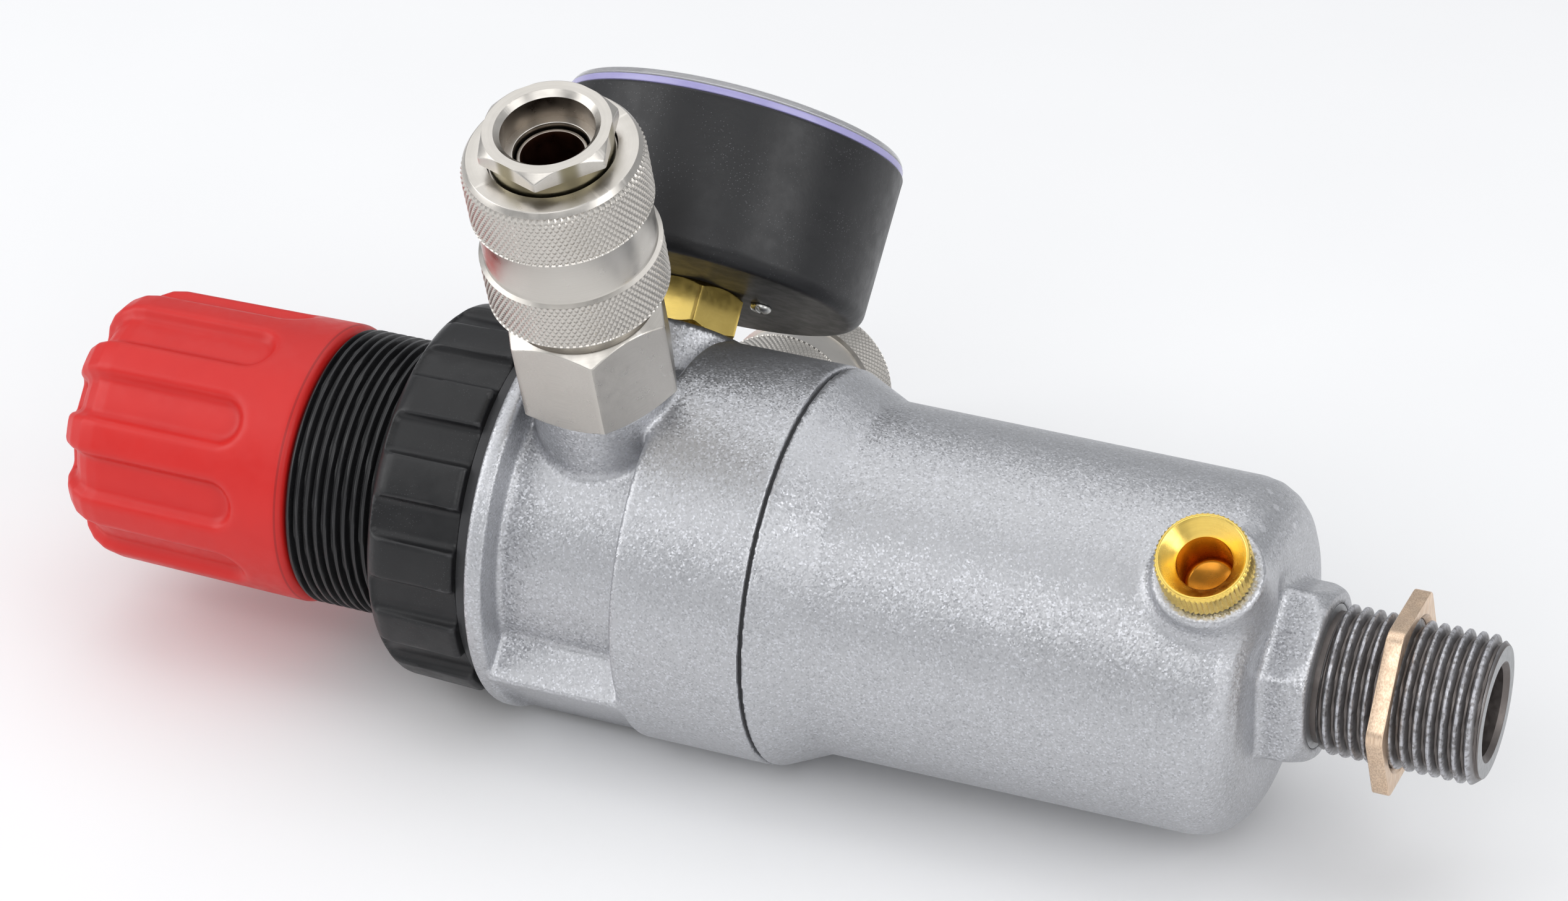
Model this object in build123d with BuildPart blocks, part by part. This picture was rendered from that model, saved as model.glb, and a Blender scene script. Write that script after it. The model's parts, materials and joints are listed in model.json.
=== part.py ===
from build123d import *
import math
import os

# Air pressure regulator with a filter bowl, a gauge and two quick-release couplers.
# The row frame has its origin at the mouth of the inlet nipple, on the main axis. +X leaves the
# nipple, so the adjusting knob is at the -X end. +Z is up with the regulator lying at rest on its
# body and its rear coupler. Everything is in millimetres.

os.makedirs("parts", exist_ok=True)

# ---------------------------------------------------------------- driving dimensions

# Stations along the main axis
knob_end_x = -213.0
knob_rim_x = -174.5
ring_nut_left_x = -158.5
ring_nut_right_x = -144.0
washer_right_x = -142.0
body_left_x = -141.9
neck_left_x = -139.0
port_x = -128.6
band_left_x = -119.6
seam_x = -100.0
bowl_flange_x = -99.5
drain_x = -37.0
bowl_end_x = -30.5
hex_end_x = -23.7

# Directions of the branches, in degrees about the main axis, from -Y towards +Z
front_coupler_angle = 72
gauge_angle = 132
rear_coupler_angle = 192
drain_angle = 55
pad_angle = -47

# Outer radii about the main axis
flange_r = 29.0
neck_r = 23.5
knob_rim_r = 20.9
knob_top_r = 20.3
bonnet_thread_r = 20.5
ring_nut_r = 28.1
bowl_r = 25.5

# Threads: radius over the crests and pitch
pipe_thread_r = 10.478          # G 1/2
pipe_pitch = 1.814
pipe_thread_depth = 1.0
bonnet_pitch = 2.0
screw_r = 5.0
screw_pitch = 1.5
fit = 0.06                      # radial clearance of a running fit
close_fit = 0.03                # radial clearance of a close fit

# Heights along a coupler, from the main axis
coupler_boss_top = 31.7
base_hex_top = 47.2
sleeve_bottom = 50.2
sleeve_top = 75.9
nose_collar_bottom = 77.9
nose_top = 80.3
plug_bore_r = 6.2
mouth_bore_r = 6.5
mouth_bore_bottom = 75.4
sleeve_r = 12.0
knurl_r = 12.7

# Heights along the gauge, from the main axis
gauge_boss_top = 29.5
gauge_back = 36.2
gauge_rim = 59.4
gauge_window_top = 62.1
gauge_back_r = 25.0
gauge_rim_r = 25.5

# Heights along the drain, from the main axis
drain_boss_top = 28.5
drain_ring_bottom = 28.9
drain_ring_top = 33.5
drain_bore_bottom = 28.7
drain_bore_r = 3.3

# ---------------------------------------------------------------- planes

main = Plane(origin=(0, 0, 0), x_dir=(0, 0, 1), z_dir=(1, 0, 0))


def branch(angle, station, height=0):
    """Plane across a branch: its normal leaves the main axis, its x runs towards the inlet."""
    turn_ = math.radians(angle)
    outward = Vector(0, -math.cos(turn_), math.sin(turn_))
    return Plane(origin=Vector(station, 0, 0) + outward * height, x_dir=(1, 0, 0), z_dir=outward)


# ---------------------------------------------------------------- shape helpers


def turned(outline, plane=main, mode=Mode.ADD):
    """Lathe work about the plane's normal. A point is (height, radius) or (height, radius, round)."""
    half_plane = Plane(origin=plane.origin, x_dir=plane.x_dir, z_dir=-plane.y_dir)
    with BuildSketch(half_plane) as profile:
        with BuildLine():
            Polyline([(point[1], point[0]) for point in outline], close=True)
        make_face()
        for point in outline:
            if len(point) == 3:
                corner = profile.vertices().sort_by_distance((point[1], point[0], 0))[0]
                fillet(corner, point[2])
    revolve(profile.sketch, axis=Axis(plane.origin, plane.z_dir), mode=mode)


def cylinder_between(plane, bottom, top, radius, mode=Mode.ADD):
    """A round bar, or with Mode.SUBTRACT a round hole, between two heights above the plane."""
    with BuildSketch(plane.offset(bottom)) as round_section:
        Circle(radius)
    extrude(round_section.sketch, amount=top - bottom, mode=mode)


def hexagon_between(plane, bottom, top, across_flats, rotation=0, mode=Mode.ADD):
    """A hexagonal bar, turned so that one corner points at the given rotation."""
    with BuildSketch(plane.offset(bottom)) as hex_section:
        RegularPolygon(across_flats / 2, 6, major_radius=False, rotation=rotation)
    extrude(hex_section.sketch, amount=top - bottom, mode=mode)


def ring_grooves(plane, first, last, pitch, radius, depth):
    """V grooves, one per pitch, that leave flat crests at the thread's outer radius."""
    half_plane = Plane(origin=plane.origin, x_dir=plane.x_dir, z_dir=-plane.y_dir)
    count = int((last - first) / pitch)
    with BuildSketch(half_plane) as grooves:
        for index in range(count):
            height = first + (index + 0.5) * pitch
            with BuildLine():
                Polyline(
                    (radius + 0.2, height - 0.44 * pitch),
                    (radius + 0.2, height + 0.44 * pitch),
                    (radius - depth, height + 0.06 * pitch),
                    (radius - depth, height - 0.06 * pitch),
                    close=True,
                )
            make_face()
    revolve(grooves.sketch, axis=Axis(plane.origin, plane.z_dir), mode=Mode.SUBTRACT)


def coil(plane, bottom, top, mean_r, wire_r, turns):
    """A compression spring between two heights above the plane, clear of both by a hair."""
    length = top - bottom - 2 * wire_r - 0.1
    start = plane.offset(bottom + wire_r + 0.05)
    with BuildLine() as helix:
        Helix(length / turns, length, mean_r, center=start.origin, direction=start.z_dir)
    with BuildSketch(Plane(helix.line @ 0, z_dir=helix.line % 0)) as wire:
        Circle(wire_r)
    sweep(wire.sketch, path=helix.line, is_frenet=True)


def finish(piece, name):
    """Name the finished piece and write it as its own STEP file."""
    piece.part.label = name
    export_step(piece.part, f"parts/{name}.step")


# ---------------------------------------------------------------- knob and adjusting screw

# The knob is a deep cap whose skirt hides the bonnet's plain end.
flute_count = 10
flute_width = 5.2
flute_end_x = -184.5
with BuildPart() as knob:
    turned(
        [
            (knob_end_x, 0),
            (knob_end_x, knob_top_r, 7.0),
            (knob_rim_x, knob_rim_r, 1.2),
            (knob_rim_x, 18.6),
            (knob_end_x + 4, 18.2, 4.0),
            (knob_end_x + 4, 8.0),
            (-204.2, 8.0),
            (-204.2, 3.9),
            (knob_end_x + 2.6, 3.9),
            (knob_end_x + 2.6, 0),
        ]
    )
    for index in range(flute_count):
        flute = branch(41 + index * 360 / flute_count, 0, knob_rim_r + 0.55)
        with BuildSketch(flute) as flute_outline:
            with Locations(((knob_end_x + flute_end_x) / 2 - 5, 0)):
                SlotOverall(flute_end_x - knob_end_x + 10, flute_width)
        extrude(flute_outline.sketch, amount=-1.5, mode=Mode.SUBTRACT)
finish(knob, "adjusting_knob")

# The screw's thrust collar bears on the inside of the bonnet's end wall.
bonnet_wall_x = -199.0
screw_thread_end_x = -172.0
with BuildPart() as adjusting_screw:
    cylinder_between(main, knob_end_x + 2.6, bonnet_wall_x, 3.9)
    cylinder_between(main, bonnet_wall_x + fit, bonnet_wall_x + 3, 7.0)
    cylinder_between(main, bonnet_wall_x, screw_thread_end_x, screw_r)
    ring_grooves(main, bonnet_wall_x + 3, screw_thread_end_x, screw_pitch, screw_r, 0.85)
finish(adjusting_screw, "adjusting_screw")

# The nut climbs the screw and is kept from turning by two ribs inside the bonnet.
spring_nut_x = -190.0
spring_nut_thickness = 4.0
chamber_r = 15.5
key_width = 3.0
with BuildPart() as spring_nut:
    cylinder_between(main, spring_nut_x, spring_nut_x + spring_nut_thickness, chamber_r - 0.4)
    cylinder_between(main, spring_nut_x, spring_nut_x + 7, 7.5)
    cylinder_between(main, spring_nut_x, spring_nut_x + 7, screw_r + fit, mode=Mode.SUBTRACT)
    with BuildSketch(main.offset(spring_nut_x)) as key_slots:
        with PolarLocations(chamber_r - 1.0, 2):
            Rectangle(3.0, key_width + 0.3)
    extrude(key_slots.sketch, amount=spring_nut_thickness, mode=Mode.SUBTRACT)
finish(spring_nut, "spring_nut")

# ---------------------------------------------------------------- bonnet, ring nut, spring

diaphragm_x = -136.5
plate_top_x = -139.0
with BuildPart() as bonnet:
    turned(
        [
            (-203.0, screw_r - 1.1 + fit),
            (-203.0, 17.6, 2.0),
            (knob_rim_x + 0.3, 17.9),
            (knob_rim_x + 0.3, bonnet_thread_r, 0.6),
            (diaphragm_x, bonnet_thread_r),
            (diaphragm_x, chamber_r),
            (bonnet_wall_x, chamber_r),
            (bonnet_wall_x, screw_r - 1.1 + fit),
        ]
    )
    ring_grooves(main, knob_rim_x + 1.2, -144.5, bonnet_pitch, bonnet_thread_r, 0.9)
    with BuildSketch(main.offset(bonnet_wall_x)) as key_ribs:
        with PolarLocations(chamber_r - 0.4, 2):
            Rectangle(1.6, key_width)
    extrude(key_ribs.sketch, amount=30)
finish(bonnet, "bonnet")

ring_nut_lobes = 14
with BuildPart() as ring_nut:
    turned(
        [
            (ring_nut_left_x, bonnet_thread_r + fit),
            (ring_nut_left_x, ring_nut_r - 0.4, 3.0),
            (ring_nut_right_x, ring_nut_r, 0.8),
            (ring_nut_right_x, bonnet_thread_r + fit),
        ]
    )
    with BuildSketch(main.offset(ring_nut_left_x + 3.5)) as grip_hollows:
        with PolarLocations(ring_nut_r + 1.2, ring_nut_lobes):
            Rectangle(4.0, 5.0)
    extrude(grip_hollows.sketch, amount=ring_nut_right_x - ring_nut_left_x, mode=Mode.SUBTRACT)
finish(ring_nut, "ring_nut")

with BuildPart() as ring_nut_washer:
    cylinder_between(main, ring_nut_right_x + 0.02, washer_right_x, 26.5)
    chamfer(ring_nut_washer.faces().sort_by(Axis.X)[-1].edges(), 0.4)
    cylinder_between(
        main, ring_nut_right_x, washer_right_x, bonnet_thread_r + fit, mode=Mode.SUBTRACT
    )
finish(ring_nut_washer, "ring_nut_washer")

with BuildPart() as regulating_spring:
    coil(main, spring_nut_x + spring_nut_thickness, plate_top_x, 10.5, 1.25, 7)
finish(regulating_spring, "regulating_spring")

# ---------------------------------------------------------------- regulator body

coupler_thread_r = 6.55
gauge_thread_r = 4.86
bulkhead_left_x = -121.0
bulkhead_right_x = -116.0
spigot_r = 25.0
with BuildPart() as regulator_body:
    turned(
        [
            (body_left_x, 0),
            (body_left_x, flange_r, 0.8),
            (neck_left_x, flange_r, 0.8),
            (neck_left_x, neck_r, 1.2),
            (band_left_x, neck_r, 1.2),
            (band_left_x, flange_r, 2.2),
            (seam_x, flange_r, 0.4),
            (seam_x, 0),
        ]
    )
    for angle in (front_coupler_angle, rear_coupler_angle):
        turned(
            [
                (15, 0),
                (15, 10.1),
                (coupler_boss_top, 10.1, 0.8),
                (coupler_boss_top, 0),
            ],
            branch(angle, port_x),
        )
    turned([(15, 0), (15, 9.5), (gauge_boss_top, 9.5, 0.8), (gauge_boss_top, 0)],
           branch(gauge_angle, port_x))
    with BuildSketch(branch(pad_angle, (neck_left_x + band_left_x) / 2, 15)) as pad_outline:
        Rectangle(band_left_x - neck_left_x + 1, 23)
    extrude(pad_outline.sketch, amount=12.4)

    # bonnet socket, diaphragm ledge, outlet chamber, seat hole, valve skirt and bowl socket
    cylinder_between(main, body_left_x, -135.0, bonnet_thread_r + 0.05, mode=Mode.SUBTRACT)
    cylinder_between(main, -135.0, bulkhead_left_x, 16.0, mode=Mode.SUBTRACT)
    cylinder_between(main, bulkhead_left_x, bulkhead_right_x, 5.5, mode=Mode.SUBTRACT)
    turned(
        [
            (bulkhead_right_x, 12.0),
            (bulkhead_right_x, spigot_r + 0.05),
            (seam_x, spigot_r + 0.05),
            (seam_x, 0),
            (-110.0, 0),
            (-110.0, 12.0),
        ],
        mode=Mode.SUBTRACT,
    )
    cylinder_between(main, bulkhead_right_x, seam_x, 9.05, mode=Mode.SUBTRACT)
    for angle in (front_coupler_angle, rear_coupler_angle):
        cylinder_between(
            branch(angle, port_x), 21.5, 40, coupler_thread_r + 0.03, mode=Mode.SUBTRACT
        )
        cylinder_between(branch(angle, port_x), 0, 22, 4.2, mode=Mode.SUBTRACT)
    cylinder_between(
        branch(gauge_angle, port_x), 21.3, 40, gauge_thread_r + 0.03, mode=Mode.SUBTRACT
    )
    cylinder_between(branch(gauge_angle, port_x), 0, 22, 2.5, mode=Mode.SUBTRACT)
finish(regulator_body, "regulator_body")

# ---------------------------------------------------------------- diaphragm and main valve

with BuildPart() as diaphragm:
    cylinder_between(main, diaphragm_x + 0.02, -135.02, bonnet_thread_r)
    cylinder_between(main, diaphragm_x, -135.0, 3.0, mode=Mode.SUBTRACT)
finish(diaphragm, "diaphragm")

stem_top_x = -133.5
with BuildPart() as diaphragm_plate:
    cylinder_between(main, plate_top_x, diaphragm_x, 13.0)
    cylinder_between(main, plate_top_x - 3, plate_top_x, 8.8)
    cylinder_between(main, diaphragm_x, stem_top_x, 2.95)
finish(diaphragm_plate, "diaphragm_plate")

seat_lip_x = -115.4
with BuildPart() as valve_seat:
    cylinder_between(main, bulkhead_left_x, bulkhead_right_x, 5.45)
    cylinder_between(main, bulkhead_right_x, -115.6, 8.9)
    cylinder_between(main, -115.6, seat_lip_x, 4.7)
    cylinder_between(main, bulkhead_left_x, seat_lip_x, 3.8, mode=Mode.SUBTRACT)
finish(valve_seat, "valve_seat")

poppet_back_x = -111.8
with BuildPart() as main_valve:
    turned(
        [
            (stem_top_x, 0),
            (stem_top_x, 1.5, 0.3),
            (-117.0, 1.5),
            (seat_lip_x + 0.05, 3.0),
            (seat_lip_x + 0.05, 6.2, 0.3),
            (poppet_back_x, 6.2, 0.5),
            (poppet_back_x, 2.0),
            (-103.0, 2.0, 0.4),
            (-103.0, 0),
        ]
    )
finish(main_valve, "main_valve")

guide_floor_x = -105.0
filter_left_x = -109.9
filter_right_x = -52.0
with BuildPart() as filter_holder:
    turned(
        [
            (-115.5, 7.4),
            (-115.5, 9.0),
            (-101.0, 9.0, 1.0),
            (-101.0, 3.0),
            (-45.5, 3.0, 0.5),
            (-45.5, 0),
            (-101.2, 0),
            (-101.2, 2.0 + fit),
            (guide_floor_x, 2.0 + fit),
            (guide_floor_x, 7.4),
        ]
    )
    with BuildSketch(main.offset(-109.0)) as windows:
        with PolarLocations(8.2, 4):
            Rectangle(4.0, 5.0)
    extrude(windows.sketch, amount=3.6, mode=Mode.SUBTRACT)
finish(filter_holder, "filter_holder")

with BuildPart() as valve_spring:
    coil(main, poppet_back_x, guide_floor_x, 4.4, 0.45, 4)
finish(valve_spring, "valve_spring")

with BuildPart() as filter_element:
    cylinder_between(main, filter_left_x, filter_right_x, 15.0)
    cylinder_between(main, filter_left_x, filter_right_x, 9.8, mode=Mode.SUBTRACT)
finish(filter_element, "filter_element")

with BuildPart() as filter_deflector:
    turned(
        [
            (filter_right_x, 3.04),
            (filter_right_x, 17.5),
            (filter_right_x + 2.4, 17.5, 1.0),
            (filter_right_x + 2.4, 5.5),
            (-46.0, 5.5, 0.8),
            (-46.0, 3.04),
        ]
    )
finish(filter_deflector, "filter_deflector")

# ---------------------------------------------------------------- bowl and inlet

bowl_inner_r = 22.5
bowl_floor_x = -36.0
drain_boss_r = 7.84
nipple_root_end_r = 10.2
nipple_inner_crest_r = 10.3
locknut_left_x = -14.4
locknut_right_x = -12.0
with BuildPart() as bowl:
    turned(
        [
            (-115.0, 0),
            (-115.0, spigot_r, 0.8),
            (bowl_flange_x, spigot_r),
            (bowl_flange_x, 28.6, 0.2),
            (-99.0, 28.6, 0.2),
            (-92.3, 25.9, 3.0),
            (-38.5, bowl_r),
            (bowl_end_x, bowl_r, 7.6),
            (bowl_end_x, 0),
        ]
    )
    hexagon_between(main, bowl_end_x - 1, hex_end_x, 24.0, rotation=90 - 24.5)
    turned(
        [(hex_end_x - 3.4, 14.2), (hex_end_x + 0.1, 11.9), (hex_end_x + 0.1, 20),
         (hex_end_x - 3.4, 20)],
        mode=Mode.SUBTRACT,
    )
    turned(
        [(-115.0, 0), (-115.0, bowl_inner_r), (bowl_floor_x, bowl_inner_r, 5.0),
         (bowl_floor_x, 0)],
        mode=Mode.SUBTRACT,
    )
    turned(
        [(16.5, 0), (16.5, drain_boss_r, 1.0), (drain_boss_top, drain_boss_r, 0.6),
         (drain_boss_top, 0)],
        branch(drain_angle, drain_x),
    )
    cylinder_between(
        main, bowl_floor_x - 6, hex_end_x, nipple_root_end_r + close_fit, mode=Mode.SUBTRACT
    )
    cylinder_between(branch(drain_angle, drain_x), 22.5, 30, 4.96, mode=Mode.SUBTRACT)
    cylinder_between(branch(drain_angle, drain_x), 18.5, 30, 4.0, mode=Mode.SUBTRACT)
    cylinder_between(branch(drain_angle, drain_x), 12, 30, 2.4, mode=Mode.SUBTRACT)
finish(bowl, "bowl")

with BuildPart() as bowl_seal:
    cylinder_between(main, seam_x + 0.02, bowl_flange_x - 0.02, 28.2)
    cylinder_between(main, seam_x, bowl_flange_x, 25.1, mode=Mode.SUBTRACT)
finish(bowl_seal, "bowl_seal")

# The crests from the bowl to the locknut are a little lower than those of the free end.
with BuildPart() as inlet_nipple:
    turned(
        [
            (bowl_floor_x + 0.5, 6.4),
            (bowl_floor_x + 0.5, nipple_root_end_r),
            (hex_end_x, nipple_root_end_r),
            (hex_end_x, 9.3),
            (-22.7, 9.3),
            (-22.2, nipple_inner_crest_r),
            (locknut_right_x, nipple_inner_crest_r),
            (locknut_right_x, pipe_thread_r),
            (-0.45, pipe_thread_r),
            (0, 9.3),
            (0, 7.2),
            (-0.8, 6.4),
        ]
    )
    ring_grooves(main, -22.2, -0.4, pipe_pitch, pipe_thread_r, pipe_thread_depth)
finish(inlet_nipple, "inlet_nipple")

with BuildPart() as locknut:
    hexagon_between(main, locknut_left_x, locknut_right_x, 25.4, rotation=90 - 63.5)
    fillet(locknut.edges().filter_by(Axis.X), 2.5)
    cylinder_between(
        main, locknut_left_x - 1, locknut_right_x + 1, pipe_thread_r + close_fit, mode=Mode.SUBTRACT
    )
finish(locknut, "locknut")

# ---------------------------------------------------------------- drain

drain = branch(drain_angle, drain_x)
with BuildPart() as drain_valve:
    turned(
        [
            (19.0, 0),
            (19.0, 3.0, 0.4),
            (20.3, 3.0),
            (20.3, 2.5),
            (21.7, 2.5),
            (21.7, 3.4),
            (23.2, 3.4),
            (23.2, 4.9),
            (drain_ring_bottom, 4.9),
            (drain_ring_bottom, 6.6, 0.4),
            (drain_ring_top, 6.6, 0.5),
            (drain_ring_top, 5.9),
            (drain_ring_top - 2.2, 3.7),
            (drain_ring_top - 2.2, drain_bore_r),
            (drain_bore_bottom, drain_bore_r),
            (drain_bore_bottom, 2.2),
            (23.6, 2.2),
            (23.6, 0),
        ],
        drain,
    )
    with BuildSketch(Plane(origin=drain.origin, x_dir=drain.z_dir, z_dir=drain.x_dir)) as side_port:
        with Locations((24.6, 0)):
            Circle(0.9)
    extrude(side_port.sketch, amount=6, both=True, mode=Mode.SUBTRACT)
finish(drain_valve, "drain_valve")

with BuildPart() as drain_seal:
    cylinder_between(drain, 20.35, 21.65, 3.93)
    cylinder_between(drain, 20.35, 21.65, 2.5 + fit, mode=Mode.SUBTRACT)
    fillet(drain_seal.edges().group_by(SortBy.LENGTH)[-1], 0.5)
finish(drain_seal, "drain_seal")

# ---------------------------------------------------------------- gauge

gauge = branch(gauge_angle, port_x)
screw_spots = [(21, 10.1), (201, 10.1)]
with BuildPart() as gauge_stem:
    cylinder_between(gauge, 22.0, gauge_boss_top, gauge_thread_r)
    hexagon_between(gauge, gauge_boss_top, gauge_back, 14.0, rotation=-62)
    cylinder_between(gauge, gauge_back, 39.0, 6.0)
    with BuildSketch(gauge.offset(38.6)) as socket_block:
        Rectangle(16, 12)
    extrude(socket_block.sketch, amount=7)
    cylinder_between(gauge, 22.0, 43.0, 1.5, mode=Mode.SUBTRACT)
    turned(
        [(gauge_boss_top - 0.01, 7.2), (gauge_boss_top - 0.01, 9), (gauge_boss_top + 0.7, 9)],
        gauge, mode=Mode.SUBTRACT,
    )
finish(gauge_stem, "gauge_stem")

with BuildPart() as gauge_case:
    turned(
        [
            (gauge_back, 6.05),
            (gauge_back, gauge_back_r, 2.6),
            (gauge_rim - 1.5, gauge_rim_r, 0.6),
            (gauge_rim, gauge_rim_r, 0.5),
            (gauge_rim, 24.0),
            (gauge_back + 2.2, 23.4, 1.6),
            (gauge_back + 2.2, 6.05),
        ],
        gauge,
    )
    for angle, reach in screw_spots:
        spot = (reach * math.cos(math.radians(angle)), reach * math.sin(math.radians(angle)))
        with BuildSketch(gauge.offset(gauge_back - 1)) as screw_hole:
            with Locations(spot):
                Circle(1.05)
        extrude(screw_hole.sketch, amount=5, mode=Mode.SUBTRACT)
finish(gauge_case, "gauge_case")

with BuildPart() as gauge_case_screws:
    for angle, reach in screw_spots:
        spot = (reach * math.cos(math.radians(angle)), reach * math.sin(math.radians(angle)))
        with BuildSketch(gauge.offset(gauge_back - 1.0)) as head:
            with Locations(spot):
                Circle(1.65)
        extrude(head.sketch, amount=0.98)
        with BuildSketch(gauge.offset(gauge_back - 1.0)) as shank:
            with Locations(spot):
                Circle(1.0)
        extrude(shank.sketch, amount=3.4)
finish(gauge_case_screws, "gauge_case_screws")

# Window: a stepped plastic cap that snaps inside the case's rim and bulges a little.
with BuildPart() as gauge_window:
    turned(
        [
            (56.0, 22.6),
            (56.0, 23.9, 0.3),
            (gauge_rim + 0.02, 23.9),
            (gauge_rim + 0.02, 25.3, 0.3),
            (gauge_window_top - 0.7, 24.7, 1.0),
            (gauge_window_top, 21.5, 3.0),
            (gauge_window_top, 0),
            (gauge_window_top - 1.6, 0),
            (gauge_window_top - 1.6, 21.0),
            (gauge_window_top - 3.2, 22.6),
        ],
        gauge,
    )
finish(gauge_window, "gauge_window")

dial_z = 54.6
pointer_z = 56.2
pointer_zero = -45              # the dial reads upright with the knob on top
with BuildPart() as gauge_dial:
    cylinder_between(gauge, dial_z, dial_z + 0.8, 22.4)
    cylinder_between(gauge, dial_z, dial_z + 0.8, 1.6, mode=Mode.SUBTRACT)
finish(gauge_dial, "gauge_dial")

spindle_r = 0.8
zero_direction = gauge.x_dir.rotate(Axis((0, 0, 0), tuple(gauge.z_dir)), pointer_zero)
pointer_plane = Plane(origin=gauge.origin, x_dir=zero_direction, z_dir=gauge.z_dir)
with BuildPart() as gauge_pointer:
    cylinder_between(gauge, 48.3, pointer_z + 1.0, spindle_r)
    cylinder_between(gauge, pointer_z, pointer_z + 1.2, 2.2)
    with BuildSketch(pointer_plane.offset(pointer_z + 0.2)) as blade:
        with BuildLine():
            Polyline((-6, -1.2), (17.5, -0.25), (17.5, 0.25), (-6, 1.2), close=True)
        make_face()
    extrude(blade.sketch, amount=0.5)
finish(gauge_pointer, "gauge_pointer")

# Movement: two brass plates on four pillars, standing on the socket block.
with BuildPart() as gauge_movement:
    for plate_bottom in (45.65, 52.4):
        with BuildSketch(gauge.offset(plate_bottom)) as plate:
            Rectangle(18, 12)
            fillet(plate.vertices(), 1.5)
        extrude(plate.sketch, amount=1.2)
    with BuildSketch(gauge.offset(46.0)) as pillars:
        with GridLocations(13, 7, 2, 2):
            Circle(1.1)
    extrude(pillars.sketch, amount=7)
    cylinder_between(gauge, 46.9, 55.0, spindle_r + fit, mode=Mode.SUBTRACT)
finish(gauge_movement, "gauge_movement")

# Bourdon tube: a flat tube bent round the movement from the socket block.
with BuildPart() as bourdon_tube:
    with BuildSketch(gauge.offset(41.0)) as bent_band:
        Circle(18.0)
        Circle(16.6, mode=Mode.SUBTRACT)
        with BuildLine():
            Polyline((0, 0), (30, 30), (40, 0), (30, -8), close=True)
        make_face(mode=Mode.SUBTRACT)
    extrude(bent_band.sketch, amount=5)
    with BuildSketch(gauge.offset(41.5)) as foot:
        with Locations((12.6, -4.0)):
            Rectangle(8.6, 3.0)
    extrude(foot.sketch, amount=4)
finish(bourdon_tube, "bourdon_tube")

# ---------------------------------------------------------------- couplers

ball_height = 73.2
ball_r = 1.5
ball_reach = 7.95
ball_count = 6


def coupler_base(plane):
    """Hexagonal adaptor screwed into the body, with the socket for the nose."""
    hexagon_between(plane, coupler_boss_top, base_hex_top, 21.4, rotation=-3)
    turned(
        [(coupler_boss_top - 0.1, 10.5), (coupler_boss_top + 1.4, 12.6),
         (base_hex_top - 1.6, 12.6), (base_hex_top + 0.1, 10.3), (base_hex_top + 0.1, 15),
         (coupler_boss_top - 0.1, 15)],
        plane, mode=Mode.SUBTRACT,
    )
    cylinder_between(plane, 22.0, coupler_boss_top, coupler_thread_r)
    ring_grooves(plane, 22.0, coupler_boss_top, 1.337, coupler_thread_r, 0.7)
    cylinder_between(plane, base_hex_top - 1, 53.5, 10.7)
    cylinder_between(plane, 21, 60, 4.2, mode=Mode.SUBTRACT)
    cylinder_between(plane, 40.0, 60, 8.05, mode=Mode.SUBTRACT)


def coupler_nose(plane):
    """Tube that the plug enters: poppet chamber, poppet seat, seal groove, ball holes, collar."""
    hexagon_between(plane, nose_collar_bottom, nose_top, 17.4, rotation=-18)
    turned(
        [(nose_top - 0.9, 10.4), (nose_top + 0.1, 8.9), (nose_top + 0.1, 12),
         (nose_top - 0.9, 12)],
        plane, mode=Mode.SUBTRACT,
    )
    turned(
        [(40.1, 0), (40.1, 8.0, 0.4), (53.6, 8.0), (53.6, 9.02), (75.0, 9.02, 0.3), (75.0, 8.6),
         (nose_collar_bottom, 8.6), (nose_collar_bottom, 0)],
        plane,
    )
    turned(
        [(40.0, 0), (40.0, 6.6), (61.0, 6.6), (61.0, 5.0), (63.0, 5.0), (63.0, 7.6), (66.4, 7.6),
         (66.4, plug_bore_r), (mouth_bore_bottom, plug_bore_r), (mouth_bore_bottom, mouth_bore_r),
         (nose_top - 0.7, mouth_bore_r), (nose_top + 0.1, 7.4),
         (nose_top + 0.1, 0)],
        plane, mode=Mode.SUBTRACT,
    )
    with BuildSketch(plane.offset(ball_height)) as ball_spokes:
        with PolarLocations(ball_reach, ball_count):
            Circle(0.1)
    for spoke in ball_spokes.sketch.faces():
        outward = (spoke.center() - plane.offset(ball_height).origin).normalized()
        hole_plane = Plane(origin=spoke.center() - outward * 3, z_dir=outward)
        cylinder_between(hole_plane, 0, 6, ball_r + 0.05, mode=Mode.SUBTRACT)


def coupler_sleeve(plane):
    """Sliding sleeve with two knurled bands. A recess clears the balls while it is drawn back."""
    turned(
        [
            (sleeve_bottom, 10.76),
            (sleeve_bottom, knurl_r - 0.5, 0.4),
            (sleeve_bottom + 0.8, knurl_r),
            (58.4, knurl_r, 0.3),
            (58.8, sleeve_r),
            (66.1, sleeve_r),
            (66.5, knurl_r, 0.3),
            (sleeve_top - 1.2, knurl_r, 0.6),
            (sleeve_top, knurl_r - 1.2, 0.5),
            (sleeve_top, 9.0),
            (75.4, 9.0),
            (75.3, 9.7),
            (70.3, 9.7),
            (70.3, 9.02 + fit),
            (69.0, 9.02 + fit),
            (69.0, 10.76),
        ],
        plane,
    )


def coupler_poppet(plane):
    """Valve poppet: a tube that the plug pushes, side ports, and a head held on its seat."""
    turned(
        [(57.0, 0), (57.0, 6.2, 0.4), (60.95, 6.2, 0.3), (60.95, 4.94), (75.2, 4.94, 0.4),
         (75.2, 3.3), (61.5, 3.3), (61.5, 0)],
        plane,
    )
    for ports in (Plane(plane.origin, x_dir=plane.z_dir, z_dir=plane.x_dir),
                  Plane(plane.origin, x_dir=plane.z_dir, z_dir=plane.y_dir)):
        with BuildSketch(ports) as port:
            with Locations((64.2, 0)):
                Circle(1.8)
        extrude(port.sketch, amount=8, both=True, mode=Mode.SUBTRACT)


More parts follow.
